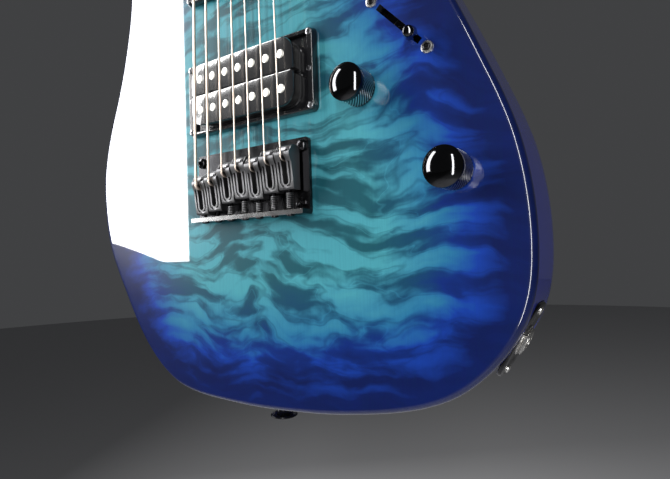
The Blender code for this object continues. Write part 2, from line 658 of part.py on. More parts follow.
def main():
    for old in list(bpy.data.objects):
        bpy.data.objects.remove(old)
    make_body()
    make_maple_top()
    make_neck()
    make_fretboard()
    make_nut()
    make_truss_rod()
    make_bridge()
    make_string_retainer()
    for number in range(STRINGS):
        make_tuner(number)
        make_saddle(number)
        make_string(number)
    make_neck_plate()
    for name, centre in (("bridge_pickup", BRIDGE_PICKUP), ("neck_pickup", NECK_PICKUP)):
        make_pickup(name, centre)
        make_pickup_ring(f"{name}_ring", centre)
    make_knob_and_pot("volume", VOLUME)
    make_knob_and_pot("tone", TONE)
    make_switch()
    make_jack()
    make_cavity_cover()
    make_strap_button("strap_button_end", (0, THICKNESS / 2 + 2, up(BUTT) - GAP), (0, 0, -1))
    make_strap_button("strap_button_horn", (-124.5, THICKNESS / 2, up(302.5)), (-0.35, 0, 0.94))


main()
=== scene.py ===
"""Looks of the seven-string guitar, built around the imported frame.

The scene is in metres, like the frame. The modelling helpers work in millimetres and piece()
makes metres of them. Y is depth, with the front facing -Y; heights run along +Z, up the strings.
"""
import math

import bmesh
import bpy
from mathutils import Matrix, Vector, geometry, kdtree
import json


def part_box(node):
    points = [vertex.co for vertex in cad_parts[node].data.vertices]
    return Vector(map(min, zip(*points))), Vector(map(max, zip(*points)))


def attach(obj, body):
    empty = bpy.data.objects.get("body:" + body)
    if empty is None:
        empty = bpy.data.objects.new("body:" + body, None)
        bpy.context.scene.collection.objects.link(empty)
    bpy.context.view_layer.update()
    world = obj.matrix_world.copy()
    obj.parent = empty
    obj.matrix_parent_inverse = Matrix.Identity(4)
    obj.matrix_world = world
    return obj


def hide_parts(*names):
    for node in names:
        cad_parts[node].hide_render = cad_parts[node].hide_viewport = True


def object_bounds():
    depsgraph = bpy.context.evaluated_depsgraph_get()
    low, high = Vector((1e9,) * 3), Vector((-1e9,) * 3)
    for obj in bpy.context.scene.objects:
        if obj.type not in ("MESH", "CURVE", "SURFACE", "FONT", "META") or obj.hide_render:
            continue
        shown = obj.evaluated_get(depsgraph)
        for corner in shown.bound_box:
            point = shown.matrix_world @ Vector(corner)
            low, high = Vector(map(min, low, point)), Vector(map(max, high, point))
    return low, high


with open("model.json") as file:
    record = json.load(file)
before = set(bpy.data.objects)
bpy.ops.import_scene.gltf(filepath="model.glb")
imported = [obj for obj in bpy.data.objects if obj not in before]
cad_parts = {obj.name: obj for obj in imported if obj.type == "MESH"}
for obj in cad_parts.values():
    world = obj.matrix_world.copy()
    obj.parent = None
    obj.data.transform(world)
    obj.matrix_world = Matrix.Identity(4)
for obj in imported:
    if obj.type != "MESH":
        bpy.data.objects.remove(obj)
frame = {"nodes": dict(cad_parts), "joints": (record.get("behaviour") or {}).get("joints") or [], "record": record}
CAD_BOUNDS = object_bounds()

MM = 0.001
ROOT = "guitar"
STRINGS = range(1, 8)


def box_mm(node):
    """A CAD node's lowest and highest corners, and its centre, in millimetres."""
    low, high = (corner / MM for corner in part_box(node))
    return low, high, (low + high) / 2


GAP = 0.3                                                # the CAD's clearance between pieces
SADDLE_NOSE = 5.5                                        # from a saddle's string break to its front
BRIDGE = box_mm("saddle_7")[1].z - SADDLE_NOSE           # height of the treble string's break
NUT = box_mm("nut")[0].z - GAP
SCALE = NUT - BRIDGE
TOP_BACK = box_mm("maple_top")[1].y
BODY_BACK = box_mm("body")[1].y
EDGE = 3.0                                               # round-over of the body's edges
FLAT_MARGIN = 0.4                                        # from the round-over to the flat face
SIDE_STEP = 6.0                                          # between the rings of the body's side
POCKET_HALF = 34.6
HEEL_DEPTH = 16.0                                        # of the neck's pocket
ARM_OUT = Vector((-0.881, 0.0, -0.474)).normalized()     # towards the player's forearm
ARM_START = 97.7                                         # from the bridge's middle, along ARM_OUT
ARM_RADIUS = 400.0
BELLY_START = -52.0                                      # the belly cut's edge, across the body
BELLY_MIDDLE = 128.0                                     # over the bridge
BELLY_SLOPE = math.tan(math.radians(11))
BELLY_RADIUS = 170.0
BOARD_THICKNESS = 6.0
BOARD_RADIUS = 400.0                                     # of its crowned front
HALF_AT_LAST_FRET, HALF_AT_NUT = 34.0, 24.0              # half the board's width
FRETS = 24
BOARD_FRONT = box_mm("fretboard")[1].y - BOARD_THICKNESS
NECK_FRONT = BOARD_FRONT + BOARD_THICKNESS + GAP
HEAD_FRONT = -2.0
HEAD_THICKNESS = 13.0
NECK_END, LAST_WOOD, BODY_EDGE = 152.0, 154.5, 208.0     # over the bridge
PLATE_HOLES = -12.5                                      # where the strings pass the plate
SCREW_DEPTH = -6.8                                       # the intonation screws' axes
KNOBS = ("volume_knob", "tone_knob")
KNOB_HOLE = 4.2
PICKUPS = ("bridge_pickup", "neck_pickup")
BRIDGE_PITCH = 10.8
NUT_PITCH = 6.83
STRING_RADII = (0.69, 0.53, 0.41, 0.33, 0.28, 0.25, 0.22)   # bass to treble
WIRE_SWELL = 0.18                # the wrap stands this far outside the CAD's core
WOUND_STRINGS = 4
STRING_AT_BRIDGE = -13.8         # depths of the strings' axes
STRING_AT_NUT = -12.5
FORWARD, BACKWARD, UPWARD, SIDEWAYS = (0, -1, 0), (0, 1, 0), (0, 0, 1), (1, 0, 0)
ORIGIN = (0, 0, 0)


def anchor(items, name):
    """The axis of a joint or a mount, and its place in millimetres."""
    found = next(item for item in items if item["name"] == name)
    return Vector(found["axis"]), Vector(found["pos_m"]) / MM


JACK_OUT = anchor(frame["record"]["mounts"], "jack_face")[0]
JACK_SIDE = Vector((JACK_OUT.z, 0, -JACK_OUT.x))


# Meshes ---------------------------------------------------------------------------------------

def polar(radius, angle, centre=(0.0, 0.0)):
    """The point at a radius and an angle from a centre."""
    return centre[0] + radius * math.cos(angle), centre[1] + radius * math.sin(angle)


def spokes(count):
    """Evenly spaced angles for one whole turn."""
    return [2 * math.pi * k / count for k in range(count)]


def skin(bm, low, high):
    """Faces between two rings with as many vertices."""
    for i in range(len(low)):
        j = (i + 1) % len(low)
        bm.faces.new((low[i], low[j], high[j], high[i]))


def loft(rings, closed=False):
    """Skin a run of rings; the ends are capped, or joined to each other when closed."""
    bm = bmesh.new()
    loops = [[bm.verts.new(point) for point in ring] for ring in rings]
    pairs = list(zip(loops, loops[1:])) + ([(loops[-1], loops[0])] if closed else [])
    for low, high in pairs:
        skin(bm, low, high)
    if not closed:
        bm.faces.new(loops[0])
        bm.faces.new(loops[-1])
    bmesh.ops.recalc_face_normals(bm, faces=bm.faces)
    return bm


def prism(outline, front, back):
    """An (x, z) outline given thickness from depth front to depth back."""
    return loft([[(x, depth, z) for x, z in outline] for depth in (front, back)])


def box(low, high):
    """A block between two corners."""
    (x0, y0, z0), (x1, y1, z1) = low, high
    return prism([(x0, z0), (x1, z0), (x1, z1), (x0, z1)], y0, y1)


def turned(profile, base, axis, sides=48, closed=False):
    """Turn (radius, height) pairs about an axis that starts at base."""
    turn = Vector(UPWARD).rotation_difference(Vector(axis)).to_matrix()
    return loft([[Vector(base) + turn @ Vector((*polar(radius, angle), height))
                  for angle in spokes(sides)] for radius, height in profile], closed)


def rod(radius, start, end, base, axis, sides):
    """A plain cylinder between two heights over its base."""
    return turned([(radius, start), (radius, end)], base, axis, sides)


def mesh_of(bm, name):
    """Turn a bmesh into a mesh, and let the bmesh go."""
    mesh = bpy.data.meshes.new(name)
    bm.to_mesh(mesh)
    bm.free()
    return mesh


def add_object(name, data):
    made = bpy.data.objects.new(name, data)
    bpy.context.scene.collection.objects.link(made)
    return made


def merge(parts):
    """One mesh of several."""
    whole = bmesh.new()
    for part in parts:
        mesh = mesh_of(part, "part")
        whole.from_mesh(mesh)
        bpy.data.meshes.remove(mesh)
    return whole


def piece(name, bm, look, body=ROOT, replaces=(), sharp=35, bevel=0.0):
    """Make the object in metres, shade it, and say what it rides on and stands for."""
    bmesh.ops.scale(bm, verts=bm.verts, vec=(MM, MM, MM))
    mesh = mesh_of(bm, name)
    made = add_object(name, mesh)
    mesh.materials.append(look)
    mesh.shade_smooth()
    mesh.set_sharp_from_angle(angle=math.radians(sharp))
    if bevel:
        soften(made, bevel)
    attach(made, body)
    if replaces:
        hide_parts(*replaces)
    return made


def paint(made, look, chosen):
    """Give a second look to the faces whose centre, in millimetres, and normal pass a test."""
    made.data.materials.append(look)
    for face in made.data.polygons:
        face.material_index = int(chosen(face.center / MM, face.normal))


def closed_loops(node, depth):
    """The edges of a CAD node's flat face at one depth, as (x, z) loops, the longest first."""
    bm = bmesh.new()
    bm.from_mesh(frame["nodes"][node].data)
    bm.transform(frame["nodes"][node].matrix_world)
    bmesh.ops.scale(bm, verts=bm.verts, vec=(1 / MM,) * 3)
    bmesh.ops.remove_doubles(bm, verts=bm.verts, dist=0.01)
    flat = {f for f in bm.faces if all(abs(v.co.y - depth) < 0.02 for v in f.verts)}
    border = [e for e in bm.edges if sum(f in flat for f in e.link_faces) == 1]
    ahead = {}
    for edge in border:
        for a, b in (edge.verts, reversed(edge.verts)):
            ahead.setdefault(a, []).append(b)
    loops, seen = [], set()
    for start in ahead:
        if start in seen:
            continue
        loop, here, last = [], start, None
        while here not in seen:
            seen.add(here)
            loop.append((here.co.x, here.co.z))
            here, last = next(v for v in ahead[here] if v is not last), here
        loops.append(loop)
    bm.free()
    return sorted(loops, key=loop_length, reverse=True)


def face_outline(node, depth, spacing=1.5):
    """The rounded outer edge of a CAD node's flat face."""
    return refined(clockwise(closed_loops(node, depth)[0]), spacing)


def loop_length(loop):
    return sum(math.dist(a, b) for a, b in zip(loop, loop[1:] + loop[:1]))


def signed_area(loop):
    """Negative for a clockwise loop."""
    return sum(a[0] * b[1] - b[0] * a[1] for a, b in zip(loop, loop[1:] + loop[:1])) / 2


def clockwise(loop):
    return loop if signed_area(loop) < 0 else loop[::-1]


def catmull_rom(a, b, c, d, t):
    """The point a share t of the way from b to c on the curve through all four."""
    return 0.5 * (2 * b + (c - a) * t + (2 * a - 5 * b + 4 * c - d) * t * t
                  + (3 * b - a - 3 * c + d) * t ** 3)


def refined(loop, spacing=1.5):
    """Round a faceted loop with a curve through its points, but keep its real corners."""
    sharpest = math.radians(40)
    count = len(loop)
    points = [Vector(p) for p in loop]

    def is_corner(i):
        arriving, leaving = points[i] - points[i - 1], points[(i + 1) % count] - points[i]
        return arriving.angle(leaving) > sharpest

    def drawn_in(here, neighbour, reach):
        away = neighbour - here
        return here + away * min(1.0, reach / away.length)

    result = []
    for i in range(count):
        b, c = points[i], points[(i + 1) % count]
        reach = (c - b).length
        a = 2 * b - c if is_corner(i) else drawn_in(b, points[i - 1], reach)
        d = 2 * c - b if is_corner((i + 1) % count) else drawn_in(c, points[(i + 2) % count], reach)
        steps = max(1, round((c - b).length / spacing))
        result += [tuple(catmull_rom(a, b, c, d, step / steps)) for step in range(steps)]
    return result


def inset(loop, distances):
    """Move each point of a clockwise loop inwards, by one distance or by its own."""
    if not isinstance(distances, list):
        distances = [distances] * len(loop)
    moved = []
    for i, (x, z) in enumerate(loop):
        ahead = (Vector(loop[(i + 1) % len(loop)]) - Vector((x, z))).normalized()
        behind = (Vector((x, z)) - Vector(loop[i - 1])).normalized()
        along = (ahead + behind).normalized()
        reach = distances[i] / max(along.dot(ahead), 0.5)
        moved.append((x + along.y * reach, z - along.x * reach))
    return moved


def inside(x, z, loop):
    """Whether a point lies within a loop."""
    crossings = False
    for (x0, z0), (x1, z1) in zip(loop, loop[1:] + loop[:1]):
        if (z0 > z) != (z1 > z) and x < x0 + (z - z0) * (x1 - x0) / (z1 - z0):
            crossings = not crossings
    return crossings


def search_tree(points):
    """Finds the nearest of some (x, z) points."""
    tree = kdtree.KDTree(len(points))
    for i, (x, z) in enumerate(points):
        tree.insert((x, z, 0), i)
    tree.balance()
    return tree


def filled(outer, holes, spacing):
    """Triangles that fill a loop around its holes, with a grid of points inside."""
    border = [Vector(p) for loop in [outer] + holes for p in loop]
    tree = search_tree(border)
    edges, start = [], 0
    for loop in [outer] + holes:
        edges += [(start + i, start + (i + 1) % len(loop)) for i in range(len(loop))]
        start += len(loop)
    xs, zs = [p[0] for p in outer], [p[1] for p in outer]
    spans = [(min(x for x, _ in hole), max(x for x, _ in hole)) for hole in holes]

    def in_hole(x, z):
        return any(low < x < high and inside(x, z, hole) for (low, high), hole in zip(spans, holes))

    grid = []
    for row in range(int((max(zs) - min(zs)) / spacing)):
        for column in range(int((max(xs) - min(xs)) / spacing)):
            x = min(xs) + (column + 0.5 * (row % 2) + 0.25) * spacing
            z = min(zs) + (row + 0.5) * spacing
            if tree.find((x, z, 0))[2] > spacing * 0.6 and not in_hole(x, z):
                grid.append(Vector((x, z)))
    spots, _, faces, *_ = geometry.delaunay_2d_cdt(border + grid, edges, [], 4, 1e-5)
    centres = [sum((spots[i] for i in face), Vector((0, 0))) / len(face) for face in faces]
    return spots, [face for face, centre in zip(faces, centres) if not in_hole(*centre)]


def slab(outline, rings, spacing, holes=()):
    """A flat-faced solid with shaped edges.

    rings holds (inset, depth) pairs from the front face to the back face; the holes go straight
    through.
    """
    bm = bmesh.new()
    holes = list(holes)
    shapes = [inset(outline, distances) for distances, _ in rings]
    for shape, depth in ((shapes[0], rings[0][1]), (shapes[-1], rings[-1][1])):
        spots, faces = filled(shape, holes, spacing)
        verts = [bm.verts.new((p.x, depth, p.y)) for p in spots]
        for face in faces:
            bm.faces.new([verts[i] for i in face])
    walls = [[[(x, depth, z) for x, z in shape] for shape, (_, depth) in zip(shapes, rings)]]
    walls += [[[(x, depth, z) for x, z in hole] for depth in (rings[0][1], rings[-1][1])]
              for hole in holes]
    for wall in walls:
        loops = [[bm.verts.new(point) for point in ring] for ring in wall]
        for low, high in zip(loops, loops[1:]):
            skin(bm, low, high)
    bmesh.ops.remove_doubles(bm, verts=bm.verts, dist=0.003)
    bmesh.ops.recalc_face_normals(bm, faces=bm.faces)
    return bm


def combined(bm, others, operation='DIFFERENCE'):
    """Cut the other shapes from this one, or join them on, one after another."""
    target = add_object("target", mesh_of(bm, "target"))
    helpers = []
    for other in others:
        helper = add_object("tool", mesh_of(other, "tool"))
        modifier = target.modifiers.new("shape", 'BOOLEAN')
        modifier.operation, modifier.solver, modifier.object = operation, 'EXACT', helper
        helpers.append(helper)
    bpy.context.view_layer.update()
    result = bmesh.new()
    result.from_object(target, bpy.context.evaluated_depsgraph_get())
    for used in helpers + [target]:
        bpy.data.objects.remove(used)
    return result


def soften(made, width):
    """Round the object's sharp edges a little."""
    modifier = made.modifiers.new("soft_edges", 'BEVEL')
    modifier.width, modifier.segments = width * MM, 3
    modifier.limit_method, modifier.angle_limit = 'ANGLE', math.radians(32)
    modifier.harden_normals = True
    modifier.use_clamp_overlap = True


def node_shape(node):
    """A welded copy of a CAD node's mesh, with its flat faces whole."""
    bm = bmesh.new()
    bm.from_mesh(frame["nodes"][node].data)
    bmesh.ops.scale(bm, verts=bm.verts, vec=(1 / MM,) * 3)
    bmesh.ops.remove_doubles(bm, verts=bm.verts, dist=0.004)
    bmesh.ops.dissolve_limit(bm, angle_limit=math.radians(0.6), verts=bm.verts, edges=bm.edges)
    return bm


def stadium(centre, size, radius, corner=8):
    """Clockwise (x, z) outline of a rectangle with round corners."""
    (cx, cz), (wide, high) = centre, size
    points = []
    for sx, sz, start in ((1, 1, 90), (1, -1, 0), (-1, -1, -90), (-1, 1, -180)):
        for step in range(corner + 1):
            middle = (cx + sx * (wide / 2 - radius), cz + sz * (high / 2 - radius))
            points.append(polar(radius, math.radians(start - 90 * step / corner), middle))
    return points


def smooth(points, steps=8):
    """A Catmull-Rom curve through the points, which keeps its two ends."""
    points = [Vector(p) for p in points]
    knots = [2 * points[0] - points[1]] + points + [2 * points[-1] - points[-2]]
    curve = []
    for a, b, c, d in zip(knots, knots[1:], knots[2:], knots[3:]):
        curve += [catmull_rom(a, b, c, d, step / steps) for step in range(steps)]
    return curve + [points[-1]]


def tube(path, radius, sides=12):
    """A round rod along a path."""
    path = [Vector(p) for p in path]
    chords = zip(path[:1] + path, path[1:] + path[-1:])
    along = [(after - before).normalized() for before, after in chords]
    side = along[0].orthogonal().normalized()
    rings = []
    for place, ahead in zip(path, along):
        side = (side - ahead * side.dot(ahead)).normalized()
        other = ahead.cross(side)
        rings.append([place + side * u + other * v
                      for u, v in (polar(radius, angle) for angle in spokes(sides))])
    return loft(rings)


def moved(bm, origin, right, front):
    """Place a shape made around zero: its x along right and its -y along front."""
    right, front = Vector(right).normalized(), Vector(front).normalized()
    matrix = Matrix((right, -front, right.cross(-front))).transposed().to_4x4()
    bmesh.ops.transform(bm, matrix=Matrix.Translation(Vector(origin)) @ matrix, verts=bm.verts)
    return bm


def screw(place, axis, radius, height, drive="cross"):
    """A screw's head on its seat: domed, with a cross or a hexagon sunk in it."""
    rim, dome = height * 0.45, height * 0.5
    top = rim + dome
    profile = [(radius * 0.96, -0.3), (radius, 0.0), (radius, rim)]
    profile += [(radius * math.cos(a), rim + dome * math.sin(a)) for a in (0.3, 0.6, 0.9, 1.2)]
    head = turned(profile + [(radius * 0.2, top)], ORIGIN, FORWARD, 24)
    if drive == "cross":
        long, short = radius * 0.55, radius * 0.12
        arms = [box((-x, -top - 1, -z), (x, -top * 0.35, z)) for x, z in ((long, short), (short, long))]
    else:
        arms = [rod(radius * 0.48, top * 0.25, top + 1, ORIGIN, FORWARD, 6)]
    head = combined(head, arms)
    front = Vector(axis).normalized()
    right = Vector(UPWARD).cross(front)
    if right.length < 0.1:
        right = SIDEWAYS
    return moved(head, place, right, front)


# Materials ------------------------------------------------------------------------------------

class Look:
    """A material, with short ways to add its nodes."""

    def __init__(self, name, colour=(0.5, 0.5, 0.5), roughness=0.5, metallic=0.0, coat=0.0,
                 coat_roughness=0.03, ior=1.5):
        self.material = bpy.data.materials.new(name)
        self.material.use_nodes = True
        self.tree = self.material.node_tree
        self.shader = self.tree.nodes["Principled BSDF"]
        self.set("Base Color", (*colour, 1.0))
        for socket, value in (("Roughness", roughness), ("Metallic", metallic), ("Coat Weight", coat),
                              ("Coat Roughness", coat_roughness), ("IOR", ior)):
            self.set(socket, value)

    def feed(self, socket, value):
        """Link an input to another node's output, or set it."""
        if isinstance(value, bpy.types.NodeSocket):
            self.tree.links.new(value, socket)
        else:
            socket.default_value = value

    def set(self, name, value):
        self.feed(self.shader.inputs[name], value)

    def node(self, kind, inputs=(), **settings):
        made = self.tree.nodes.new(kind)
        for name, value in settings.items():
            setattr(made, name, value)
        for key, value in dict(inputs).items():
            self.feed(made.inputs[key], value)
        return made

    def vector(self, operation, *inputs):
        return self.node("ShaderNodeVectorMath", enumerate(inputs), operation=operation).outputs[0]

    def place(self, scale=(1, 1, 1)):
        """Object coordinates in millimetres, stretched."""
        spot = self.node("ShaderNodeTexCoord").outputs["Object"]
        return self.vector('MULTIPLY', spot, tuple(s / MM for s in scale))

    def noise(self, vector, scale, detail=2.0, roughness=0.5, distortion=0.0, colour=False):
        made = self.node("ShaderNodeTexNoise", {"Vector": vector, "Scale": scale, "Detail": detail,
                                                "Roughness": roughness, "Distortion": distortion})
        return made.outputs["Color" if colour else "Fac"]

    def math(self, operation, a, b=0.0, c=0.0, clamp=False):
        return self.node("ShaderNodeMath", {0: a, 1: b, 2: c}, operation=operation,
                         use_clamp=clamp).outputs[0]

    def between(self, value, low, high, start=0.0, end=1.0, smooth=True):
        """Map value from low..high to start..end, held at the ends."""
        return self.node("ShaderNodeMapRange", {0: value, 1: low, 2: high, 3: start, 4: end},
                         interpolation_type='SMOOTHSTEP' if smooth else 'LINEAR').outputs[0]

    def mix(self, share, a, b, blend='MIX'):
        made = self.node("ShaderNodeMix", data_type='RGBA', blend_type=blend)
        for socket, value in ((made.inputs[0], share), (made.inputs[6], a), (made.inputs[7], b)):
            self.feed(socket, (*value, 1.0) if isinstance(value, tuple) else value)
        return made.outputs[2]

    def ramp(self, value, stops):
        made = self.node("ShaderNodeValToRGB", {0: value})
        elements = made.color_ramp.elements
        while len(elements) < len(stops):
            elements.new(0.5)
        for element, (position, colour) in zip(elements, stops):
            element.position, element.color = position, (*colour, 1.0)
        return made.outputs[0]

    def bump(self, height, distance, strength=1.0, into="Normal"):
        """Relief: distance is the height in metres that a change of 1 stands for."""
        made = self.node("ShaderNodeBump",
                         {"Strength": strength, "Distance": distance, "Height": height})
        self.set(into, made.outputs[0])


def quilted_maple():
    """Quilted figure under gloss lacquer, stained from teal through blue to a navy rim."""
    look = Look("quilted_maple", roughness=0.35, coat=1.0, coat_roughness=0.02)
    look.set("Specular IOR Level", 0.1)
    spot = look.place()
    slow = look.noise(spot, 0.010, 1.0, colour=True)
    quick = look.noise(spot, 0.036, 2.5, colour=True)

    def shifted(vector, noise, reach):
        """Move a place about by up to half of reach, in millimetres."""
        return look.vector('MULTIPLY_ADD', look.vector('SUBTRACT', noise, (0.5, 0.5, 0.5)), reach, vector)

    bent = shifted(shifted(spot, slow, (70, 0, 52)), quick, (24, 0, 17))

    def stretched(across, along):
        return look.vector('MULTIPLY', bent, (across, 0.0, along))

    # Wide waves across the grain, with ripples on them and a fine curl.
    waves = look.noise(stretched(0.022, 0.095), 1.0, 1.0, 0.4)
    ripples = look.noise(stretched(0.055, 0.19), 1.0, 2.0, 0.5)
    curl = look.noise(look.place((0.11, 0.0, 0.13)), 1.0, 4.0, 0.6)
    figure = look.math('MULTIPLY_ADD', look.math('SUBTRACT', ripples, 0.5), 0.55, waves)
    figure = look.math('MULTIPLY_ADD', look.math('SUBTRACT', curl, 0.5), 0.16, figure)
    bright = look.between(figure, 0.36, 0.60)
    # A pale line runs where the waves pass one height, and a dark fold where they pass another.
    line = look.math('ABSOLUTE', look.math('SUBTRACT', waves, 0.46))
    contour = look.between(line, 0.0, 0.008, 0.25, 0.0)
    fold = look.math('ABSOLUTE', look.math('SUBTRACT', waves, 0.515))
    trough = look.between(fold, 0.0, 0.026, 0.62, 1.0)
    bright = look.math('MULTIPLY_ADD', bright, trough, contour, clamp=True)

    # The stain deepens towards the edge of the top, in a ragged line.
    rim = look.node("ShaderNodeAttribute", attribute_name="rim").outputs["Fac"]
    ragged = look.math('MULTIPLY_ADD', look.math('SUBTRACT', figure, 0.5), 34.0, rim)
    depth = look.between(ragged, 12.0, 72.0, smooth=False)
    light = look.ramp(depth, [(0.0, (0.002, 0.007, 0.062)), (0.28, (0.005, 0.030, 0.22)),
                              (0.55, (0.015, 0.112, 0.220)), (1.0, (0.044, 0.222, 0.265))])
    dark = look.ramp(depth, [(0.0, (0.002, 0.006, 0.052)), (0.30, (0.003, 0.016, 0.12)),
                             (0.6, (0.005, 0.040, 0.085)), (1.0, (0.007, 0.060, 0.078))])
    colour = look.mix(bright, dark, light)
    grain = look.noise(look.place((0.9, 0.0, 0.05)), 1.0, 3.0, 0.6)
    colour = look.mix(look.between(grain, 0.35, 0.75, 0.0, 0.10), colour, (0.0, 0.02, 0.05))
    look.set("Base Color", colour)
    return look.material


def blue_lacquer():
    """Gloss lacquer over the body's sides and back, with a faint orange peel."""
    look = Look("blue_lacquer", (0.012, 0.018, 0.10), 0.32, coat=1.0, coat_roughness=0.03)
    look.set("Specular IOR Level", 0.1)
    look.bump(look.noise(look.place(), 0.35, 2.0), 0.00001, 0.4, "Coat Normal")
    cloud = look.noise(look.place(), 0.02, 2.0)
    look.set("Base Color", look.mix(cloud, (0.018, 0.030, 0.28), (0.026, 0.040, 0.34)))
    return look.material


def black_metal(name="black_metal", roughness=0.28, colour=(0.018, 0.018, 0.02), metallic=0.85):
    """Black plating, a little cloudy, with fine pores."""
    look = Look(name, colour, roughness, metallic)
    cloud = look.noise(look.place(), 0.12, 2.0)
    look.set("Roughness", look.between(cloud, 0.3, 0.7, roughness * 0.9, roughness * 1.12))
    look.bump(look.noise(look.place(), 6.0, 2.0), 0.000004, 0.2)
    return look.material


def knurl_with_painted_highlights():
    """Black plating with painted highlights on the knurl's ridges and painted shade in its valleys."""
    look = Look("knurl_painted_highlights", roughness=0.28, metallic=1.0)
    ridge = look.node("ShaderNodeAttribute", attribute_name="ridge").outputs["Fac"]
    look.set("Base Color", look.ramp(ridge, [(0.4, (0.012, 0.012, 0.013)), (0.9, (0.85, 0.85, 0.84))]))
    return look.material


def steel(name="steel", colour=(0.62, 0.61, 0.59), roughness=0.25):
    """Bare metal with brushed scratches."""
    look = Look(name, colour, roughness, 1.0)
    brushed = look.noise(look.place((8.0, 8.0, 0.5)), 1.0, 3.0)
    look.set("Roughness", look.between(brushed, 0.3, 0.7, roughness - 0.07, roughness + 0.12))
    return look.material


def wound_wire():
    """Nickel wrap wire: fine ridges round the string."""
    look = Look("wound_wire", (0.74, 0.62, 0.53), 0.4, 1.0)
    spot = look.node("ShaderNodeSeparateXYZ", {0: look.place()}).outputs[2]
    ridge = look.math('ABSOLUTE', look.math('SINE', look.math('MULTIPLY', spot, math.pi / 0.3)))
    look.bump(ridge, 0.00004, 0.5)
    look.set("Roughness", look.between(ridge, 0.0, 1.0, 0.5, 0.38))
    return look.material


def plastic(name, colour=(0.012, 0.012, 0.013), roughness=0.3, coat=0.0):
    """Moulded plastic with a fine grain."""
    look = Look(name, colour, roughness, coat=coat)
    grain = look.noise(look.place(), 5.0, 2.0)
    look.bump(grain, 0.00002, 0.15)
    look.set("Roughness", look.between(grain, 0.3, 0.7, roughness * 0.85, roughness * 1.2))
    return look.material


def coil_plastic():
    """Gloss black plastic under a slightly wavy clear skin."""
    look = Look("coil_plastic", (0.012, 0.012, 0.013), 0.2, coat=1.0, coat_roughness=0.04)
    look.bump(look.noise(look.place(), 0.14, 3.0), 0.00035, 0.7, "Coat Normal")
    shade = look.noise(look.place(), 0.5, 2.0)
    look.set("Base Color", look.mix(shade, (0.010, 0.010, 0.011), (0.016, 0.016, 0.017)))
    return look.material


def maple_neck():
    """Pale maple under a satin finish, with straight grain."""
    look = Look("maple_neck", roughness=0.42)
    grain = look.noise(look.place((0.5, 0.5, 0.012)), 1.0, 4.0, 0.6, 0.6)
    look.set("Base Color", look.ramp(grain, [(0.3, (0.42, 0.25, 0.12)), (0.5, (0.56, 0.37, 0.20)),
                                             (0.7, (0.62, 0.43, 0.25))]))
    look.bump(grain, 0.00003, 0.2)
    return look.material


def rosewood():
    """Dark fretboard wood with open pores."""
    look = Look("rosewood", roughness=0.5)
    grain = look.noise(look.place((0.7, 0.7, 0.02)), 1.0, 5.0, 0.65, 0.8)
    pores = look.noise(look.place((2.2, 2.2, 0.07)), 1.0, 2.0)
    colour = look.ramp(grain, [(0.3, (0.018, 0.008, 0.005)), (0.55, (0.055, 0.025, 0.014)),
                               (0.75, (0.10, 0.05, 0.028))])
    colour = look.mix(look.between(pores, 0.58, 0.68, 0.0, 0.7), colour, (0.008, 0.004, 0.003))
    look.set("Base Color", colour)
    look.bump(pores, -0.00008, 0.5)
    return look.material


QUILT = quilted_maple()
LACQUER = blue_lacquer()
BLACK = black_metal()
KNOB_BLACK = black_metal("knob_black", 0.07, (0.055, 0.055, 0.058), 1.0)
STEEL = steel()
NICKEL = steel("nickel_wire", (0.74, 0.70, 0.65), 0.3)
SATIN_PLASTIC = plastic("satin_plastic", roughness=0.35)
GLOSS_PLASTIC = plastic("gloss_plastic", (0.006, 0.006, 0.007), 0.16, 1.0)
MAPLE = maple_neck()
ROSEWOOD = rosewood()
GRAPHITE = plastic("graphite", (0.03, 0.03, 0.032), 0.5)
HEAD_FACE = plastic("painted_head_face", (0.008, 0.012, 0.055), 0.25, 1.0)
BRIDGE_BLACK = black_metal("bridge_black", 0.2, (0.045, 0.045, 0.048), 1.0)
# A lighter black for the bridge flange's front face: a painted highlight.
FLANGE_PAINTED_HIGHLIGHT = black_metal("flange_painted_highlight", 0.22, (0.20, 0.20, 0.20), 1.0)
SADDLE_BLACK = black_metal("saddle_black", 0.42, (0.17, 0.17, 0.175), 1.0)
# Knurl with painted highlights on its ridges and painted shade in its valleys.
KNURL_PAINTED_HIGHLIGHT = knurl_with_painted_highlights()
GRUB_STEEL = steel("dark_steel", (0.22, 0.22, 0.23), 0.25)
POLE_STEEL = steel("pole_steel", (0.85, 0.83, 0.78), 0.32)
FRET_WIRE = steel("fret_wire", (0.72, 0.71, 0.69), 0.18)
BRASS = steel("brass", (0.72, 0.5, 0.2), 0.3)
WOUND = wound_wire()
PLAIN = steel("plain_wire", (0.76, 0.66, 0.57), 0.36)
PEARL = plastic("pearl_dots", (0.72, 0.72, 0.68), 0.2)
BOBBIN = coil_plastic()
CAVITY_PAINT = plastic("cavity_paint", (0.012, 0.012, 0.014), 0.75)
COIL_TAPE = plastic("coil_tape", (0.02, 0.02, 0.02), 0.45)


# Places ---------------------------------------------------------------------------------------

def up(height):
    """Height over the bridge to a height in the frame."""
    return BRIDGE + height


def string_x(number, height):
    """A string's place across the neck at a height over the bridge; string 1 is the bass."""
    pitch = BRIDGE_PITCH + (NUT_PITCH - BRIDGE_PITCH) * height / SCALE
    return (number - 4) * pitch


def string_depth(height):
    """Depth of the strings' axes at a height over the bridge."""
    return STRING_AT_BRIDGE + (STRING_AT_NUT - STRING_AT_BRIDGE) * height / SCALE


def half_width(height):
    """Half the fretboard's width at a height over the bridge."""
    last = SCALE / 2 ** (FRETS / 12)
    share = (height - last) / (SCALE - last)
    return HALF_AT_LAST_FRET + (HALF_AT_NUT - HALF_AT_LAST_FRET) * share


# Wood -----------------------------------------------------------------------------------------

def in_pocket(x, z):
    """Whether a point of the outline borders the neck's pocket."""
    return abs(x) < POCKET_HALF + 0.4 and z > up(100)


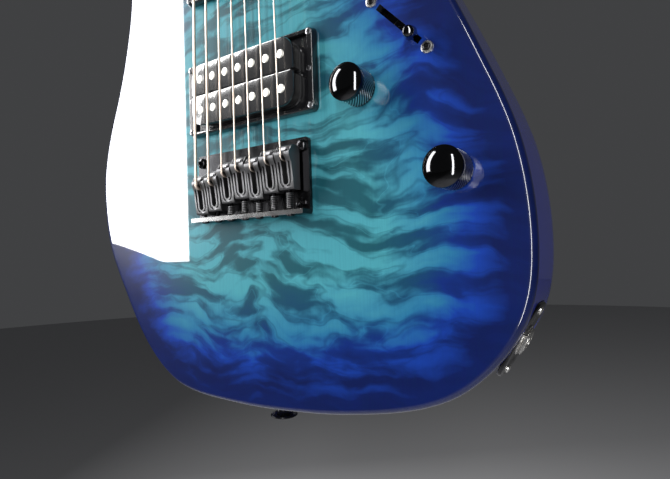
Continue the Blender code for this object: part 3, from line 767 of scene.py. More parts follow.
def belly(x, z):
    """How far the back is carved away for the player's ribs."""
    slope = max(0.0, (BELLY_START - x) * BELLY_SLOPE)
    return max(0.0, slope - (z - up(BELLY_MIDDLE)) ** 2 / (2 * BELLY_RADIUS))


def arm_fall(x, z):
    """How far the front falls away under the player's forearm."""
    reach = max(0.0, ARM_OUT.dot((x, 0, z - BRIDGE)) - ARM_START)
    return reach ** 2 / (2 * ARM_RADIUS)


def quarter_round(radii, towards_back):
    """(inset, depth offset) rings of an edge rounded by each point's own radius."""
    rings = []
    for step in range(7):
        angle = math.pi / 2 * step / 6
        rings.append(([r * (1 - math.sin(angle)) for r in radii], EDGE * (1 - math.cos(angle))))
    return rings if towards_back else [(d, -y) for d, y in reversed(rings)]


def make_body_and_top():
    """The top with its arm bevel, and the body with its belly cut and its cavities."""
    loops = closed_loops("maple_top", TOP_BACK)
    outline = refined(clockwise(loops[0]))
    radii = [0.2 if in_pocket(x, z) else EDGE for x, z in outline]
    holes = [refined(clockwise(loop)) for loop in loops[1:] if len(loop) < 9]
    for knob in KNOBS:
        centre = box_mm(knob)[2]
        holes.append(clockwise([polar(KNOB_HOLE, angle, centre.xz) for angle in spokes(32)]))
    rings = [([r + FLAT_MARGIN for r in radii], 0.0)] + quarter_round(radii, True) + [(0.0, TOP_BACK)]
    top = slab(outline, rings, 3.5, holes)
    edge = [p for p in outline if not in_pocket(*p)]
    tree = search_tree(edge)
    distances = [tree.find((v.co.x, v.co.z, 0))[2] for v in top.verts]
    for vert in top.verts:
        vert.co.y += arm_fall(vert.co.x, vert.co.z) * (1 - vert.co.y / TOP_BACK)
    made = piece("quilt_top", top, QUILT, replaces=("maple_top",))
    paint(made, CAVITY_PAINT, lambda spot, normal: (tree.find((spot.x, spot.z, 0))[2] > 4.5
                                                    and abs(normal.y) < 0.3))
    rim = made.data.attributes.new("rim", 'FLOAT', 'POINT')
    for item, distance in zip(rim.data, distances):
        item.value = distance

    rings = [(0.0, TOP_BACK + SIDE_STEP * n) for n in range(6)]
    rings += [(d, BODY_BACK + y) for d, y in quarter_round([EDGE] * len(edge), False)]
    body = slab(edge, rings + [(EDGE + FLAT_MARGIN, BODY_BACK)], 5.0)
    carved = TOP_BACK + SIDE_STEP
    for vert in body.verts:
        share = min(1.0, max(0.0, (vert.co.y - carved) / (BODY_BACK - carved)))
        vert.co.y -= belly(vert.co.x, vert.co.z) * share
    body = combined(body, [merge(pockets()), merge(cavities()), control_cavity(), merge(bores())])
    shell = piece("body_shell", body, LACQUER, replaces=("body",), sharp=50)

    def is_hollow(spot, _):
        sunk = TOP_BACK + 0.1 < spot.y < BODY_BACK - 1.5 - belly(spot.x, spot.z)
        return sunk and tree.find((spot.x, spot.z, 0))[2] > 3.5

    paint(shell, CAVITY_PAINT, is_hollow)


def pockets():
    """The wells under the pickups and the neck's pocket."""
    shapes = []
    for name in PICKUPS:
        low, high, _ = box_mm(name)
        shapes.append(box((low.x - 3, 0, low.z - 0.8), (high.x + 3, 24, high.z + 0.8)))
    half = half_width(NECK_END) + GAP
    shapes.append(box((-half, 0, up(NECK_END - GAP)), (half, HEEL_DEPTH, up(BODY_EDGE + 12))))
    return shapes


def control_cavity():
    """The cavity behind the knobs and the switch, as the CAD has it."""
    roof = 9.0
    return prism(face_outline("body", roof, 3.0), roof, BODY_BACK - 2.0)


def on_jack_plate(bm):
    """Place a shape made around zero, facing up, on the plate of the jack."""
    turn = Matrix((JACK_SIDE, BACKWARD, JACK_OUT)).transposed().to_4x4()
    middle = box_mm("jack_plate")[2] + JACK_OUT * 0.1
    bmesh.ops.transform(bm, matrix=Matrix.Translation(middle) @ turn, verts=bm.verts)
    return bm


def cavities():
    """The recess of the cavity's cover, and the seat of the jack plate."""
    grown = inset(face_outline("cavity_cover", BODY_BACK, 2.0), -0.35)
    seat = loft([[(x, y, z) for x, y in stadium((0, 0), (38.6, 25.6), 8.3, 10)] for z in (-1.4, 12.0)])
    return [prism(grown, BODY_BACK - 2.5, BODY_BACK + 3), on_jack_plate(seat)]


def bores():
    """Holes for the pots, the switch, the jack and the strings' ferrules."""
    shapes = []
    for knob in KNOBS:
        centre = box_mm(knob)[2]
        shapes.append(rod(KNOB_HOLE, -30, 2, (centre.x, 0, centre.z), FORWARD, 32))
    front_face = closed_loops("body", TOP_BACK + 0.3)
    shapes += [prism(clockwise(loop), 0, 12) for loop in front_face[1:] if is_slot(loop)]
    shapes += [rod(3.6, 0, 5, (string_x(i, 0), BODY_BACK - 3.0, up(PLATE_HOLES)), BACKWARD, 24)
               for i in STRINGS]
    shapes.append(rod(9.5, -26, 4, box_mm("jack_plate")[2], JACK_OUT, 32))
    return shapes


def is_slot(loop):
    """The switch's slot is the only slanted hole with four corners."""
    xs, zs = [p[0] for p in loop], [p[1] for p in loop]
    boxed = (max(xs) - min(xs)) * (max(zs) - min(zs))
    return len(loop) < 9 and abs(signed_area(loop)) < 0.5 * boxed


def neck_section(height, depth, squareness):
    """A section of the neck: flat under the fretboard, a rounded D behind."""
    ring = []
    for i in range(33):
        angle = math.pi * i / 32
        cos, sin = math.cos(angle), max(math.sin(angle), 0.0)
        x = math.copysign(abs(cos) ** (2 / squareness), cos) * half_width(height)
        ring.append((x, NECK_FRONT + depth * sin ** (2 / squareness), up(height)))
    return ring


def make_neck():
    """The shaft, whose D grows square at the heel, joined to the head."""
    heel = HEEL_DEPTH - GAP - NECK_FRONT
    plan = [(NECK_END, heel, 10), (BODY_EDGE, heel, 10), (218, 18.4, 6), (228, 16.0, 3.4),
            (242, 14.9, 2.6), (275, 14.7, 2.5), (330, 14.5, 2.4), (480, 13.6, 2.4), (565, 13.0, 2.4),
            (595, 12.8, 2.4), (612, 12.9, 2.4), (624, 13.4, 2.6), (634, 14.4, 3.0), (643, 15.5, 4),
            (SCALE + 4.5, 15.6, 4)]
    shaft = loft([neck_section(*place) for place in smooth(plan, 5)])
    back = HEAD_FRONT + HEAD_THICKNESS
    outline = face_outline("neck", back, 1.2)
    soft = [(2.0 - u, 2.0 - v) for v, u in (polar(2.0, math.pi / 8 * n) for n in range(5))]
    rings = [(d, HEAD_FRONT + y) for d, y in soft] + [(d, back - y) for d, y in reversed(soft)]
    head = slab(outline, rings, 6.0)
    holes = [rod(5.3, -5, 20, (post.x, 0, post.z), BACKWARD, 32)
             for post in (box_mm(f"tuner_post_{i}")[2] for i in STRINGS)]
    neck = combined(head, [shaft], 'UNION')
    channel = box((-3.4, -10, NUT - 60), (3.4, 4.5, NUT + 20))
    neck = combined(neck, [merge(holes), channel])
    made = piece("neck_wood", neck, MAPLE, replaces=("neck",), sharp=40)
    paint(made, HEAD_FACE, lambda spot, normal: (abs(spot.y - HEAD_FRONT) < 2.1
                                                 and spot.z > NUT + 4.3 and normal.y < -0.2))


def make_fretboard():
    """The board's crowned front, its 24 frets with rounded ends, and its dots."""
    def crown(x):
        return BOARD_FRONT + x * x / (2 * BOARD_RADIUS)

    def section(height, shrink=0.0):
        width = half_width(height) - shrink
        front = [(x, crown(x) + shrink) for x in (width * (i / 8 - 1) for i in range(17))]
        back = [(x, BOARD_FRONT + BOARD_THICKNESS) for x in (width, -width)]
        return [(x, depth, up(height)) for x, depth in front + back]

    ends = [(LAST_WOOD, 0.5), (LAST_WOOD + 0.5, 0.0), (SCALE, 0.0)]
    piece("fretboard_wood", loft([section(z, s) for z, s in ends]), ROSEWOOD, replaces=("fretboard",),
          bevel=0.3)
    for number in range(1, FRETS + 1):
        height = SCALE / 2 ** (number / 12)
        reach = half_width(height) - 0.25
        rings = []
        for i in range(21):
            x = reach * (i / 10 - 1)
            tall = 1.05 * min(1.0, 0.25 + (reach - abs(x)) / 1.2)
            arc = [math.radians(degrees) for degrees in range(0, 181, 20)]
            profile = [(1.2 * math.cos(angle), tall * math.sin(angle)) for angle in arc]
            rings.append([(x, crown(x) - rise, up(height + z))
                          for z, rise in profile + [(-1.2, -0.6), (1.2, -0.6)]])
        piece(f"fret_{number}", loft(rings), FRET_WIRE)
    dots = []
    for number in (3, 5, 7, 9, 12, 15, 17, 19, 21, 24):
        middle = SCALE * (2 ** (-number / 12) + 2 ** (-(number - 1) / 12)) / 2
        for x in ((-15.5, 15.5) if number in (12, 24) else (0,)):
            dots.append(turned([(2.9, -1.0), (2.9, 0.0), (2.75, 0.06)], (x, crown(x), up(middle)),
                               FORWARD, 32))
        edge = (-half_width(middle), BOARD_FRONT + BOARD_THICKNESS / 2, up(middle))
        dots.append(rod(1.0, -1.0, 0.04, edge, (-1, 0, 0), 16))
    piece("position_dots", merge(dots), PEARL)


def make_head_parts():
    """The nut, the cover of the truss rod and the bar that holds the strings down."""
    nut = node_shape("nut")
    piece("nut_block", nut, GRAPHITE, replaces=("nut",), bevel=0.25)
    low, high, _ = box_mm("truss_rod_cover")
    outline = face_outline("truss_rod_cover", high.y, 1.0)
    cover = slab(outline, [(0.5, low.y), (0.0, low.y + 0.5), (0.0, high.y)], 3)
    piece("rod_cover", cover, GLOSS_PLASTIC, replaces=("truss_rod_cover",))
    spots = [(-8.5, low.z + 3), (8.5, low.z + 3), (0, high.z - 4)]
    screws = [screw((x, low.y + 0.1, z), FORWARD, 1.5, 1.0) for x, z in spots]
    low, high, centre = box_mm("string_retainer")
    depth, reach = low.y + 2.2, high.x - 0.1
    half = [(1.4, reach), (2.0, reach - 0.3), (2.2, reach - 0.9)]
    bar = turned([(r, -x) for r, x in half] + half[::-1], (centre.x, depth, centre.z), SIDEWAYS, 32)
    pillar = [(3.0, 0.0), (3.0, 0.8), (1.8, 1.2), (1.8, 9.5)]
    pillars = [turned(pillar, (x, HEAD_FRONT - GAP, centre.z), FORWARD, 24) for x in (-23.5, 23.5)]
    piece("retainer_bar", merge([bar] + pillars), BLACK, replaces=("string_retainer",))
    screws += [screw((x, depth - 1.9, centre.z), FORWARD, 1.9, 1.2) for x in (-23.5, 23.5)]
    piece("head_screws", merge(screws), STEEL)


def make_tuners():
    """Each tuner's post with its gear and the string wound on it, its housing and its button."""
    waist, turns, fine = 2.6, 2.4, 28
    for i in STRINGS:
        body = f"tuner_post_{i}"
        low, high, post = box_mm(body)
        tall = high.y - low.y
        profile = [(2.2, 0.0), (2.85, 0.35), (3.0, 0.9), (3.0, 6.0), (2.75, 6.5), (waist, 7.0),
                   (waist, 10.5), (2.8, 10.8), (3.0, 11.0), (3.0, tall - 0.6), (2.4, tall)]
        shaft = turned(profile, (post.x, low.y, post.z), BACKWARD, 32)
        hole = rod(0.9, -5, 5, (post.x, low.y + 8.6, post.z), (1, 0, 0.3), 16)
        toothed = [polar(5.0 - 0.8 * (k % 4 > 1), angle, post.xz) for k, angle in enumerate(spokes(60))]
        gear = prism(toothed, high.y - 4.6, high.y - 0.6)
        post_and_gear = merge([combined(shaft, [hole]), gear])
        piece(f"post_{i}", post_and_gear, BLACK, body, (body,))
        radius = STRING_RADII[i - 1]
        coil = []
        for step in range(int(turns * fine) + 1):
            x, z = polar(waist + radius, 2 * math.pi * step / fine, post.xz)
            coil.append((x, low.y + 8.7 + (step / fine - turns / 2) * 2.02 * radius, z))
        piece(f"winding_{i}", tube(coil, radius, 10), NICKEL, body)

        housing = node_shape(f"tuner_housing_{i}")
        piece(f"housing_{i}", housing, BLACK, replaces=(f"tuner_housing_{i}",),
              bevel=0.5)
        make_button(i)


def make_button(number):
    """The worm's shaft and a flattened, waisted button, smooth all over."""
    out, start = anchor(frame["joints"], f"tuner_button_{number}_turn")
    out = out if out.x < 0 else -out
    along = Vector(BACKWARD).cross(out)
    shaft = [(-6.0, 1.4, 1.4), (-5.6, 1.9, 1.9), (6.0, 1.9, 1.9), (19.0, 1.9, 1.9), (19.2, 2.9, 2.9),
             (20.3, 2.9, 2.9)]
    knob = smooth([(20.6, 2.2, 2.2), (21.3, 4.2, 3.0), (23.0, 6.9, 3.6), (26.0, 8.5, 4.1),
                   (29.5, 8.8, 4.1), (32.0, 8.2, 3.7), (33.4, 6.8, 2.9), (34.0, 5.2, 1.8)], 4)
    rings = []
    for reach, wide, thick in [Vector(s) for s in shaft] + knob:
        power = 0.75 if reach > 20.5 else 1.0
        ring = []
        for angle in spokes(36):
            cos, sin = math.cos(angle), math.sin(angle)
            ring.append(start + out * reach + along * (wide * math.copysign(abs(cos) ** power, cos))
                        + Vector((0, thick * math.copysign(abs(sin) ** power, sin), 0)))
        rings.append(ring)
    body = f"tuner_button_{number}"
    piece(f"button_{number}", loft(rings), BLACK, body, (body,))


# Bridge and strings ---------------------------------------------------------------------------

def make_bridge():
    """The plate with its flange, and each saddle with the screw and the spring that hold it."""
    low, high, centre = box_mm("bridge_plate")
    face = high.y - 2.2
    outline = stadium((0, centre.z), (high - low).xz, 2.0)
    plate = slab(outline, [(0.0, face), (0.0, high.y)], 8.0)
    flange = box((low.x, low.y, low.z), (high.x, high.y - 1.0, low.z + 2.5))
    holes = [rod(1.8, -5, 5, (string_x(i, 0), high.y, up(PLATE_HOLES)), BACKWARD, 24) for i in STRINGS]
    holes += [rod(1.5, -2, 5, (string_x(i, 0), SCREW_DEPTH, low.z), UPWARD, 24) for i in STRINGS]
    plate = combined(combined(plate, [flange], 'UNION'), [merge(holes)])
    made = piece("bridge_base", plate, BRIDGE_BLACK, replaces=("bridge_plate",),
                 bevel=0.45)
    # The flange's front face gets a lighter colour, a painted highlight.
    paint(made, FLANGE_PAINTED_HIGHLIGHT, lambda spot, normal: normal.y < -0.9 and spot.y < low.y + 0.2)

    heads = []
    for x, z, radius, height in ((38.4, high.z - 4.6, 3.1, 2.6), (38.8, low.z + 6.2, 2.0, 1.4),
                                 (34.6, low.z + 5.6, 1.3, 1.0)):
        heads += [screw((side * x, face, z), FORWARD, radius, height, "hex") for side in (-1, 1)]
    piece("bridge_screws", merge(heads), BRIDGE_BLACK)

    rods, springs = [], []
    for i in STRINGS:
        x, rear = string_x(i, 0), box_mm(f"saddle_{i}")[0].z
        rods.append(thread((x, SCREW_DEPTH, low.z), rear + 4.6 - low.z))
        rods.append(screw((x, SCREW_DEPTH, low.z + 0.05), (0, 0, -1), 2.2, 1.3))
        free = rear - low.z - 3.7
        if free > 2.5:
            springs.append(helix((x, SCREW_DEPTH, low.z + 2.9), free - 0.6))
    piece("intonation_screws", merge(rods), BRIDGE_BLACK)
    piece("intonation_springs", merge(springs), SADDLE_BLACK)
    for i in STRINGS:
        make_saddle(i)


def thread(start, length):
    """An upright rod with ridges for its thread."""
    half_pitch, crest, root = 0.25, 1.25, 1.03
    profile = [(root if k % 2 else crest, k * half_pitch) for k in range(int(length / half_pitch))]
    return turned(profile, start, UPWARD, 16)


def helix(base, length):
    """An upright coil spring."""
    radius, wire, pitch, fine = 1.75, 0.3, 0.95, 16
    path = [(*polar(radius, 2 * math.pi * k / fine, base), base[2] + pitch * k / fine)
            for k in range(int(length / pitch * fine))]
    return tube(path, wire, 6)


def make_saddle(number):
    """A block with raised rails beside its slot, a round crown and two height screws."""
    low, high, centre = box_mm(f"saddle_{number}")
    x, height = centre.x, high.z - SADDLE_NOSE
    crown = STRING_AT_BRIDGE + STRING_RADII[number - 1] + 0.3
    half = (high.x - low.x) / 2
    nose = [(SADDLE_NOSE, -4.0), (SADDLE_NOSE, -9.6), (5.1, -10.5), (4.2, -11.2), (2.6, -11.9),
            (1.6, crown + 0.06), (0.8, crown), (0.0, crown + 0.12)]
    spine = nose + [(-1.6, crown + 0.75), (-4.0, -11.25), (-8.0, -10.6), (-13.0, -10.0), (-17.0, -9.5),
                    (-17.8, -9.0), (-18.0, -8.2), (-18.0, -4.0)]
    block = loft([[(x + reach, depth, height + z) for z, depth in spine] for reach in (-half, half)])
    slot = prism(stadium((x, height - 7.6), (3.4, 15.2), 1.69, 6), -20, 0)
    arc = [math.pi + math.pi * step / 12 for step in range(13)]
    outer, inner, top, end = 3.9, 2.75, height - 3.2, (x, height - 13.2)
    band = [(x - outer, top), *(polar(outer, angle, end) for angle in arc), (x + outer, top)]
    band += [(x + inner, top), *(polar(inner, angle, end) for angle in reversed(arc)), (x - inner, top)]
    groove = prism(band, -14, -8.9)
    grub_spots = [(x + side * 3.1, -11.0, height + 3.2) for side in (-1, 1)]
    wells = [rod(1.45, -2.4, 3.6, spot, FORWARD, 20) for spot in grub_spots]
    bore = rod(1.8, -20, -14.5, (x, SCREW_DEPTH, height), UPWARD, 20)
    block = combined(block, [slot, groove, merge(wells), bore])
    body = f"saddle_{number}"
    piece(f"saddle_block_{number}", block, SADDLE_BLACK, body, (body,), bevel=0.32)
    profile = [(1.3, -7.0), (1.3, 0.0), (1.1, 0.25), (0.72, 0.25), (0.72, -0.8)]
    grubs = [turned(profile, spot, FORWARD, 20) for spot in grub_spots]
    piece(f"saddle_screws_{number}", merge(grubs), GRUB_STEEL, body)


def make_strings():
    """Each string from its ball end through the body, over the saddle and the nut to its post."""
    for i in STRINGS:
        radius = STRING_RADII[i - 1]
        saddle = box_mm(f"saddle_{i}")[1].z - SADDLE_NOSE - BRIDGE
        x_bridge, x_nut = string_x(i, 0), string_x(i, SCALE)
        post = box_mm(f"tuner_post_{i}")[2]
        drop = saddle - 3.1
        behind = [(-1.5, PLATE_HOLES), (-2.9, PLATE_HOLES + 0.15),
                  (-3.35, min(PLATE_HOLES + 0.6, (drop + PLATE_HOLES) / 2)), (-3.7, drop - 0.4),
                  (-5.0, drop), (-8.0, drop + 0.2), (-11.0, drop + 0.35), (-12.6, drop + 0.75),
                  (-13.4, drop + 1.3), (STRING_AT_BRIDGE, saddle - 1.0)]
        path = [(x_bridge, depth, up(PLATE_HOLES)) for depth in (BODY_BACK - 4.0, 6.0)]
        path += smooth([(x_bridge, depth, up(height)) for depth, height in behind], 3)
        path += [(string_x(i, h), string_depth(h), up(h)) for h in (60, 200, 340, 480)]
        path += [(x_nut, STRING_AT_NUT, NUT + 1), (x_nut, STRING_AT_NUT + 0.1, NUT + 4.5)]
        retained = [(STRING_AT_NUT + 0.25, 6), (-10.2, 18.2), (-9.55, 21), (-9.3, 24)]
        path += smooth([(x_nut, depth, NUT + beyond) for depth, beyond in retained], 4)
        path += [(x_nut, HEAD_FRONT - 4.3, post.z)]
        wire = tube(path, radius + WIRE_SWELL, 14)
        look = WOUND if i <= WOUND_STRINGS else PLAIN
        piece(f"wire_{i}", wire, look, replaces=(f"string_{i}",))
        spool = [(1.1, -1.6), (2.1, -1.6), (2.1, -1.2), (1.7, 0), (2.1, 1.2), (2.1, 1.6), (1.1, 1.6)]
        ball = turned(spool, (x_bridge, BODY_BACK - 3.2, up(PLATE_HOLES)), SIDEWAYS, 24, True)
        piece(f"ball_end_{i}", ball, BRASS)
    rim = [(2.6, -2.6), (3.5, -2.6), (3.5, -0.2), (3.3, 0.0), (2.9, 0.0), (2.6, -0.2)]
    rims = [turned(rim, (string_x(i, 0), BODY_BACK, up(PLATE_HOLES)), BACKWARD, 32, True)
            for i in STRINGS]
    piece("string_ferrules", merge(rims), BLACK)


# Pickups and controls -------------------------------------------------------------------------

def make_pickup(name):
    """Two bobbins with seven poles each, wound coils between their flanges, and the base."""
    low, high, centre = box_mm(name)
    base = prism(stadium((0, centre.z), (high - low).xz, 3), -1.5, high.y)
    piece(f"{name}_base", base, GLOSS_PLASTIC, name, (name,), bevel=0.4)
    pole = [(2.35, -1.5), (2.35, 0.1), (2.2, 0.2), (1.4, 0.25)]
    caps, coils, poles = [], [], []
    for loop in closed_loops(name, low.y):
        cap = refined(clockwise(loop), 1.0)
        flange = [(0.7, low.y), (0.2, low.y + 0.2), (0.0, low.y + 0.7), (0.0, low.y + 1.7)]
        caps.append(slab(cap, flange, 5.0))
        coils.append(prism(inset(cap, 1.3), low.y + 1.7, -2.4))
        caps.append(slab(cap, [(0.3, -2.4), (0.0, -2.1), (0.0, -1.0)], 5.0))
        middle = (min(z for _, z in loop) + max(z for _, z in loop)) / 2
        for i in STRINGS:
            spot = (string_x(i, centre.z - BRIDGE) * 0.985, low.y, middle)
            poles.append(turned(pole, spot, FORWARD, 32))
    piece(f"{name}_bobbins", merge(caps), BOBBIN, name)
    piece(f"{name}_coils", merge(coils), COIL_TAPE, name, bevel=0.3)
    piece(f"{name}_poles", merge(poles), POLE_STEEL, name)


def make_ring(name):
    """The plastic ring round a pickup, with the screws in its corners and its ends."""
    low, high, centre = box_mm(f"{name}_ring")
    pickup_low, pickup_high, _ = box_mm(name)
    opening = [side + 2 * GAP for side in (pickup_high - pickup_low).xz]
    outline = stadium((0, centre.z), (high - low).xz, 3)
    rings = [(1.3, low.y), (0.9, low.y + 0.25), (0.0, low.y + 2.6), (0.0, high.y)]
    ring = slab(outline, rings, 3.0, [stadium((0, centre.z), opening, 2)])
    piece(f"{name}_surround", ring, GLOSS_PLASTIC, replaces=(f"{name}_ring",),
          bevel=0.25)
    reach, rise = (side / 2 - 2.9 for side in (high - low).xz)
    corners = [screw((x, low.y + 0.2, centre.z + z), FORWARD, 1.9, 1.0)
               for x in (-reach, reach) for z in (-rise, rise)]
    piece(f"{name}_corner_screws", merge(corners), GRUB_STEEL)
    ends = [screw((x, low.y + 0.3, centre.z), FORWARD, 1.5, 0.9) for x in (-reach + 0.3, reach - 0.3)]
    piece(f"{name}_height_screws", merge(ends), GRUB_STEEL)


def make_knob(kind):
    """A domed knob, its side cut in a fine diamond knurl."""
    name = f"{kind}_knob"
    low, high, centre = box_mm(name)
    radius, base, front = (high.x - low.x) / 2, -high.y, -low.y
    domed, pitch, deep = 3.0, 1.1, 0.6
    rim = front - domed
    plain = [(3.3, rim - 3.6), (3.3, 3.6), (6.8, 3.6), (6.8, base), (8.8, base), (9.0, base + 0.25),
             (9.0, base + 0.9)]
    count = int((rim - base - 2 * pitch) / pitch)
    rows = [(radius - 0.1, base + pitch + pitch * k) for k in range(count)]
    last = rows[-1][1]
    dome = []
    for step in range(16):
        reach = (radius - 0.15) * math.cos(math.pi / 2 * step / 16)
        dome.append((reach, front - domed * (reach / radius) ** 2.6))
    band = [(radius - 0.5, last + 0.3), (radius - 0.5, last + 0.55), (radius - 0.05, last + 0.8),
            (radius, rim - 0.35)]
    rings = []
    for row, (reach, height) in enumerate(plain + rows + band + dome + [(0.6, front)]):
        cut = deep if (reach, height) in rows else 0.0
        spots = [polar(reach - cut * ((k + row) % 2), angle, centre.xz)
                 for k, angle in enumerate(spokes(72))]
        rings.append([(x, -height, z) for x, z in spots])
    made = piece(f"{kind}_cap", loft(rings), KNOB_BLACK, name, (name,), sharp=24)
    # The knurled band takes the material with painted highlights on the ridges and painted shade in the valleys.
    paint(made, KNURL_PAINTED_HIGHLIGHT, lambda spot, _: ((spot.xz - centre.xz).length > radius - deep
                                              and base + pitch < -spot.y < last + 0.2))
    # Marks the knurl's ridges, where the highlight is painted.
    ridge = made.data.attributes.new("ridge", 'FLOAT', 'POINT')
    for item, vert in zip(ridge.data, made.data.vertices):
        item.value = float((vert.co.xz / MM - centre.xz).length > radius - 0.4)
    pot = box_mm(f"{kind}_pot")[2]
    shaft = [(12, -20), (12, -9.4), (3.8, -9.4), (3.8, 0.3), (5.6, 0.3), (5.6, 3.0), (3.0, 3.0),
             (3.0, 10.4)]
    piece(f"{kind}_potentiometer", turned(shaft, (pot.x, 0, pot.z), FORWARD, 48), STEEL,
          replaces=(f"{kind}_pot",), bevel=0.3)


def make_switch():
    """The lever with its cap, tilted along the slot, and the two screws that hold the frame."""
    axis, pivot = anchor(frame["joints"], "switch_lever_swing")
    run = axis.cross(Vector(BACKWARD)).normalized()
    run = run if run.x > 0 else -run
    tilt = math.radians(25)
    tip = (Vector(FORWARD) * math.cos(tilt) + run * math.sin(tilt)).normalized()
    cap = smooth([(1.5, 26.0), (2.9, 26.1), (3.3, 26.7), (3.35, 28.5), (3.0, 32.0), (2.7, 35.0),
                  (2.35, 36.3), (1.6, 36.85), (0.5, 37.0)], 4)
    blade = rod(1.3, -2.0, 26.5, pivot, tip, 20)
    piece("switch_blade", blade, BLACK, "switch_lever", ("switch_lever",))
    piece("switch_tip", turned(cap, pivot, tip, 40), KNOB_BLACK, "switch_lever")
    head = [(3.0, -0.2), (3.0, 0.5), (2.7, 0.9), (2.1, 1.0), (1.9, 0.75), (0.9, 0.55)]
    spots = [pivot + run * (20.6 * side) for side in (-1, 1)]
    screws = [turned(head, (spot.x, 0, spot.z), FORWARD, 40) for spot in spots]
    piece("switch_screws", merge(screws), STEEL)
    hearts = [screw((spot.x, -0.72, spot.z), FORWARD, 1.7, 0.8) for spot in spots]
    piece("switch_screw_hearts", merge(hearts), BLACK)
    piece("switch_frame", node_shape("switch_body"), BLACK, replaces=("switch_body",),
          bevel=0.4)


def make_jack():
    """The dished plate, its screws, and the socket's bush with its nut and washer."""
    outline = stadium((0, 0), (38, 25), 8, 10)
    section = ((0.3, -1.1), (0.0, -0.8), (0.0, 0.2), (0.25, 0.7), (0.8, 0.9), (3.2, 1.0), (6.2, 1.0),
               (7.4, 0.35))
    rings = [[(x, y, height) for x, y in inset(outline, inward)] for inward, height in section]
    plate = combined(loft(rings), [rod(5.0, -5, 5, ORIGIN, UPWARD, 32)])
    piece("jack_cup", on_jack_plate(plate), BRIDGE_BLACK, replaces=("jack_plate",))
    screws = [screw((x, 0, 0.9), UPWARD, 2.0, 1.1) for x in (-15.6, 15.6)]
    piece("jack_screws", on_jack_plate(merge(screws)), STEEL)
    sleeve = [(3.25, 3.2), (3.25, -24), (5.0, -24), (5.0, -14), (8.6, -14), (8.6, -3), (4.6, -3),
              (4.6, 3.05), (4.4, 3.2)]
    nut = [(4.6, 1.3), (6.4, 1.3), (6.9, 1.7), (6.9, 2.5), (6.2, 2.9), (4.6, 2.9)]
    washer = [(4.6, 0.4), (7.6, 0.4), (7.6, 1.1), (7.4, 1.3), (4.6, 1.3)]
    parts = [turned(profile, ORIGIN, UPWARD, sides, True)
             for profile, sides in ((sleeve, 40), (nut, 6), (washer, 40))]
    piece("jack_bush", on_jack_plate(merge(parts)), STEEL, replaces=("jack_socket",))


# Back -----------------------------------------------------------------------------------------

def make_back_parts():
    """The plate with the neck's bolts, and the cover of the control cavity."""
    low, high, centre = box_mm("neck_plate")
    back = BODY_BACK + GAP
    outline = stadium((0, centre.z), (high - low).xz, 5)
    plate = slab(outline, [(0.0, back), (0.0, back + 1.4), (0.25, back + 1.85), (0.8, back + 2.0)], 6.0)
    spots = [(x, centre.z + z) for x in (-19, 19) for z in (-19, 19)]
    bolts = [rod(2.2, -34, 1, (x, back, z), BACKWARD, 20) for x, z in spots]
    piece("bolt_plate", merge([plate] + bolts), BLACK, replaces=("neck_plate",))
    heads = [screw((x, back + 1.9, z), BACKWARD, 4.2, 1.4) for x, z in spots]
    piece("neck_bolt_heads", merge(heads), STEEL)

    cover = face_outline("cavity_cover", BODY_BACK, 2.0)
    low, high, _ = box_mm("cavity_cover")
    sheet = slab(cover, [(0.0, low.y), (0.0, high.y - 0.5), (0.5, high.y)], 6.0)
    piece("control_cover", sheet, SATIN_PLASTIC, replaces=("cavity_cover",))
    ring = inset(cover, 4.0)
    screws = [screw(spread(ring, i / 7, high.y - 0.1), BACKWARD, 1.8, 0.7) for i in range(7)]
    piece("cover_screws", merge(screws), STEEL)


def spread(loop, share, depth):
    """The point a share of the way round a loop."""
    target = loop_length(loop) * share
    for a, b in zip(loop, loop[1:] + loop[:1]):
        step = math.dist(a, b)
        if step >= target:
            break
        target -= step
    x, z = Vector(a).lerp(Vector(b), target / step)
    return x, depth, z


def make_strap_buttons():
    """The two waisted buttons, each with its screw."""
    shape = smooth([(7.2, 0.0), (7.2, 0.8), (5.4, 1.7), (4.4, 3.0), (4.2, 5.4), (5.3, 7.3), (7.6, 8.5),
                    (8.2, 9.1), (8.0, 9.8), (7.0, 10.2), (5.0, 10.3)], 3)
    for place in ("end", "horn"):
        axis, face = anchor(frame["record"]["mounts"], f"strap_{place}")
        base = face - axis * 11.0
        name = f"strap_button_{place}"
        button = turned(shape, base, axis, 48)
        piece(f"{name}_turned", button, BLACK, replaces=(name,))
        piece(f"{name}_screw", screw(base + axis * 10.05, axis, 3.4, 1.0), STEEL)


# Studio ---------------------------------------------------------------------------------------

def area_light(name, place, target, size, power):
    """A rectangular light that faces its target."""
    lamp = bpy.data.lights.new(name, 'AREA')
    lamp.shape, lamp.size, lamp.size_y = 'RECTANGLE', *size
    lamp.energy = power
    made = add_object(name, lamp)
    made.location = place
    made.rotation_euler = (Vector(target) - Vector(place)).to_track_quat('-Z', 'Y').to_euler()


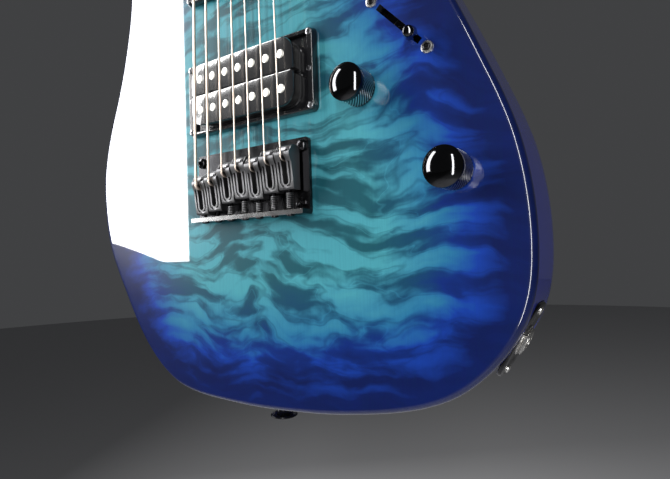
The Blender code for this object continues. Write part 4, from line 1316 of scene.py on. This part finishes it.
def make_studio():
    """A grey floor well below, a dim even surround and three soft lights."""
    disc = bmesh.new()
    bmesh.ops.create_circle(disc, cap_ends=True, segments=96, radius=9.0)
    floor = add_object("floor", mesh_of(disc, "floor"))
    floor.location = (0, 0, CAD_BOUNDS[0][2] - 0.9)
    floor.data.materials.append(Look("pale_floor", (0.50, 0.50, 0.51), 0.7).material)
    world = bpy.data.worlds.new("studio")
    world.use_nodes = True
    background = world.node_tree.nodes["Background"]
    background.inputs["Color"].default_value = (0.94, 0.96, 1.0, 1)
    background.inputs["Strength"].default_value = 0.055
    bpy.context.scene.world = world
    knee = BRIDGE * MM
    chest = knee + 0.935
    area_light("side_softbox", (-1.39, -0.773, chest), (0.055, -0.123, chest), (0.57, 2.0), 72)
    area_light("front_strip", (0.584, -1.22, knee + 0.25), (0.097, 0, knee + 0.25), (0.16, 1.8), 23)
    area_light("back_softbox", (-1.0, 1.2, knee + 0.6), (0, 0, knee + 0.1), (0.8, 0.8), 20)


def make_camera():
    """The photographer stands at the treble side of the bridge, level with it and close."""
    camera = bpy.data.cameras.new("camera")
    camera.sensor_width = 36.0
    camera.lens = 26.47
    camera.clip_start = 0.01
    made = add_object("camera", camera)
    azimuth, rise, roll = math.radians(33.15), math.radians(1.6), math.radians(-1.85)
    made.rotation_mode = 'QUATERNION'
    view = Matrix.Rotation(azimuth, 3, 'Z') @ Matrix.Rotation(math.pi / 2 + rise, 3, 'X')
    made.rotation_quaternion = (view @ Matrix.Rotation(roll, 3, 'Z')).to_quaternion()
    made.location = Vector((194.8, -212.9, BRIDGE - 52.3)) * MM
    bpy.context.scene.camera = made


bpy.context.scene.view_settings.view_transform = 'Standard'
make_camera()
make_studio()
make_body_and_top()
make_neck()
make_fretboard()
make_head_parts()
make_tuners()
make_bridge()
make_strings()
for unit in PICKUPS:
    make_pickup(unit)
    make_ring(unit)
for kind in ("volume", "tone"):
    make_knob(kind)
make_switch()
make_jack()
make_back_parts()
make_strap_buttons()
frame["nodes"]["truss_rod"].data.materials.clear()
frame["nodes"]["truss_rod"].data.materials.append(STEEL)
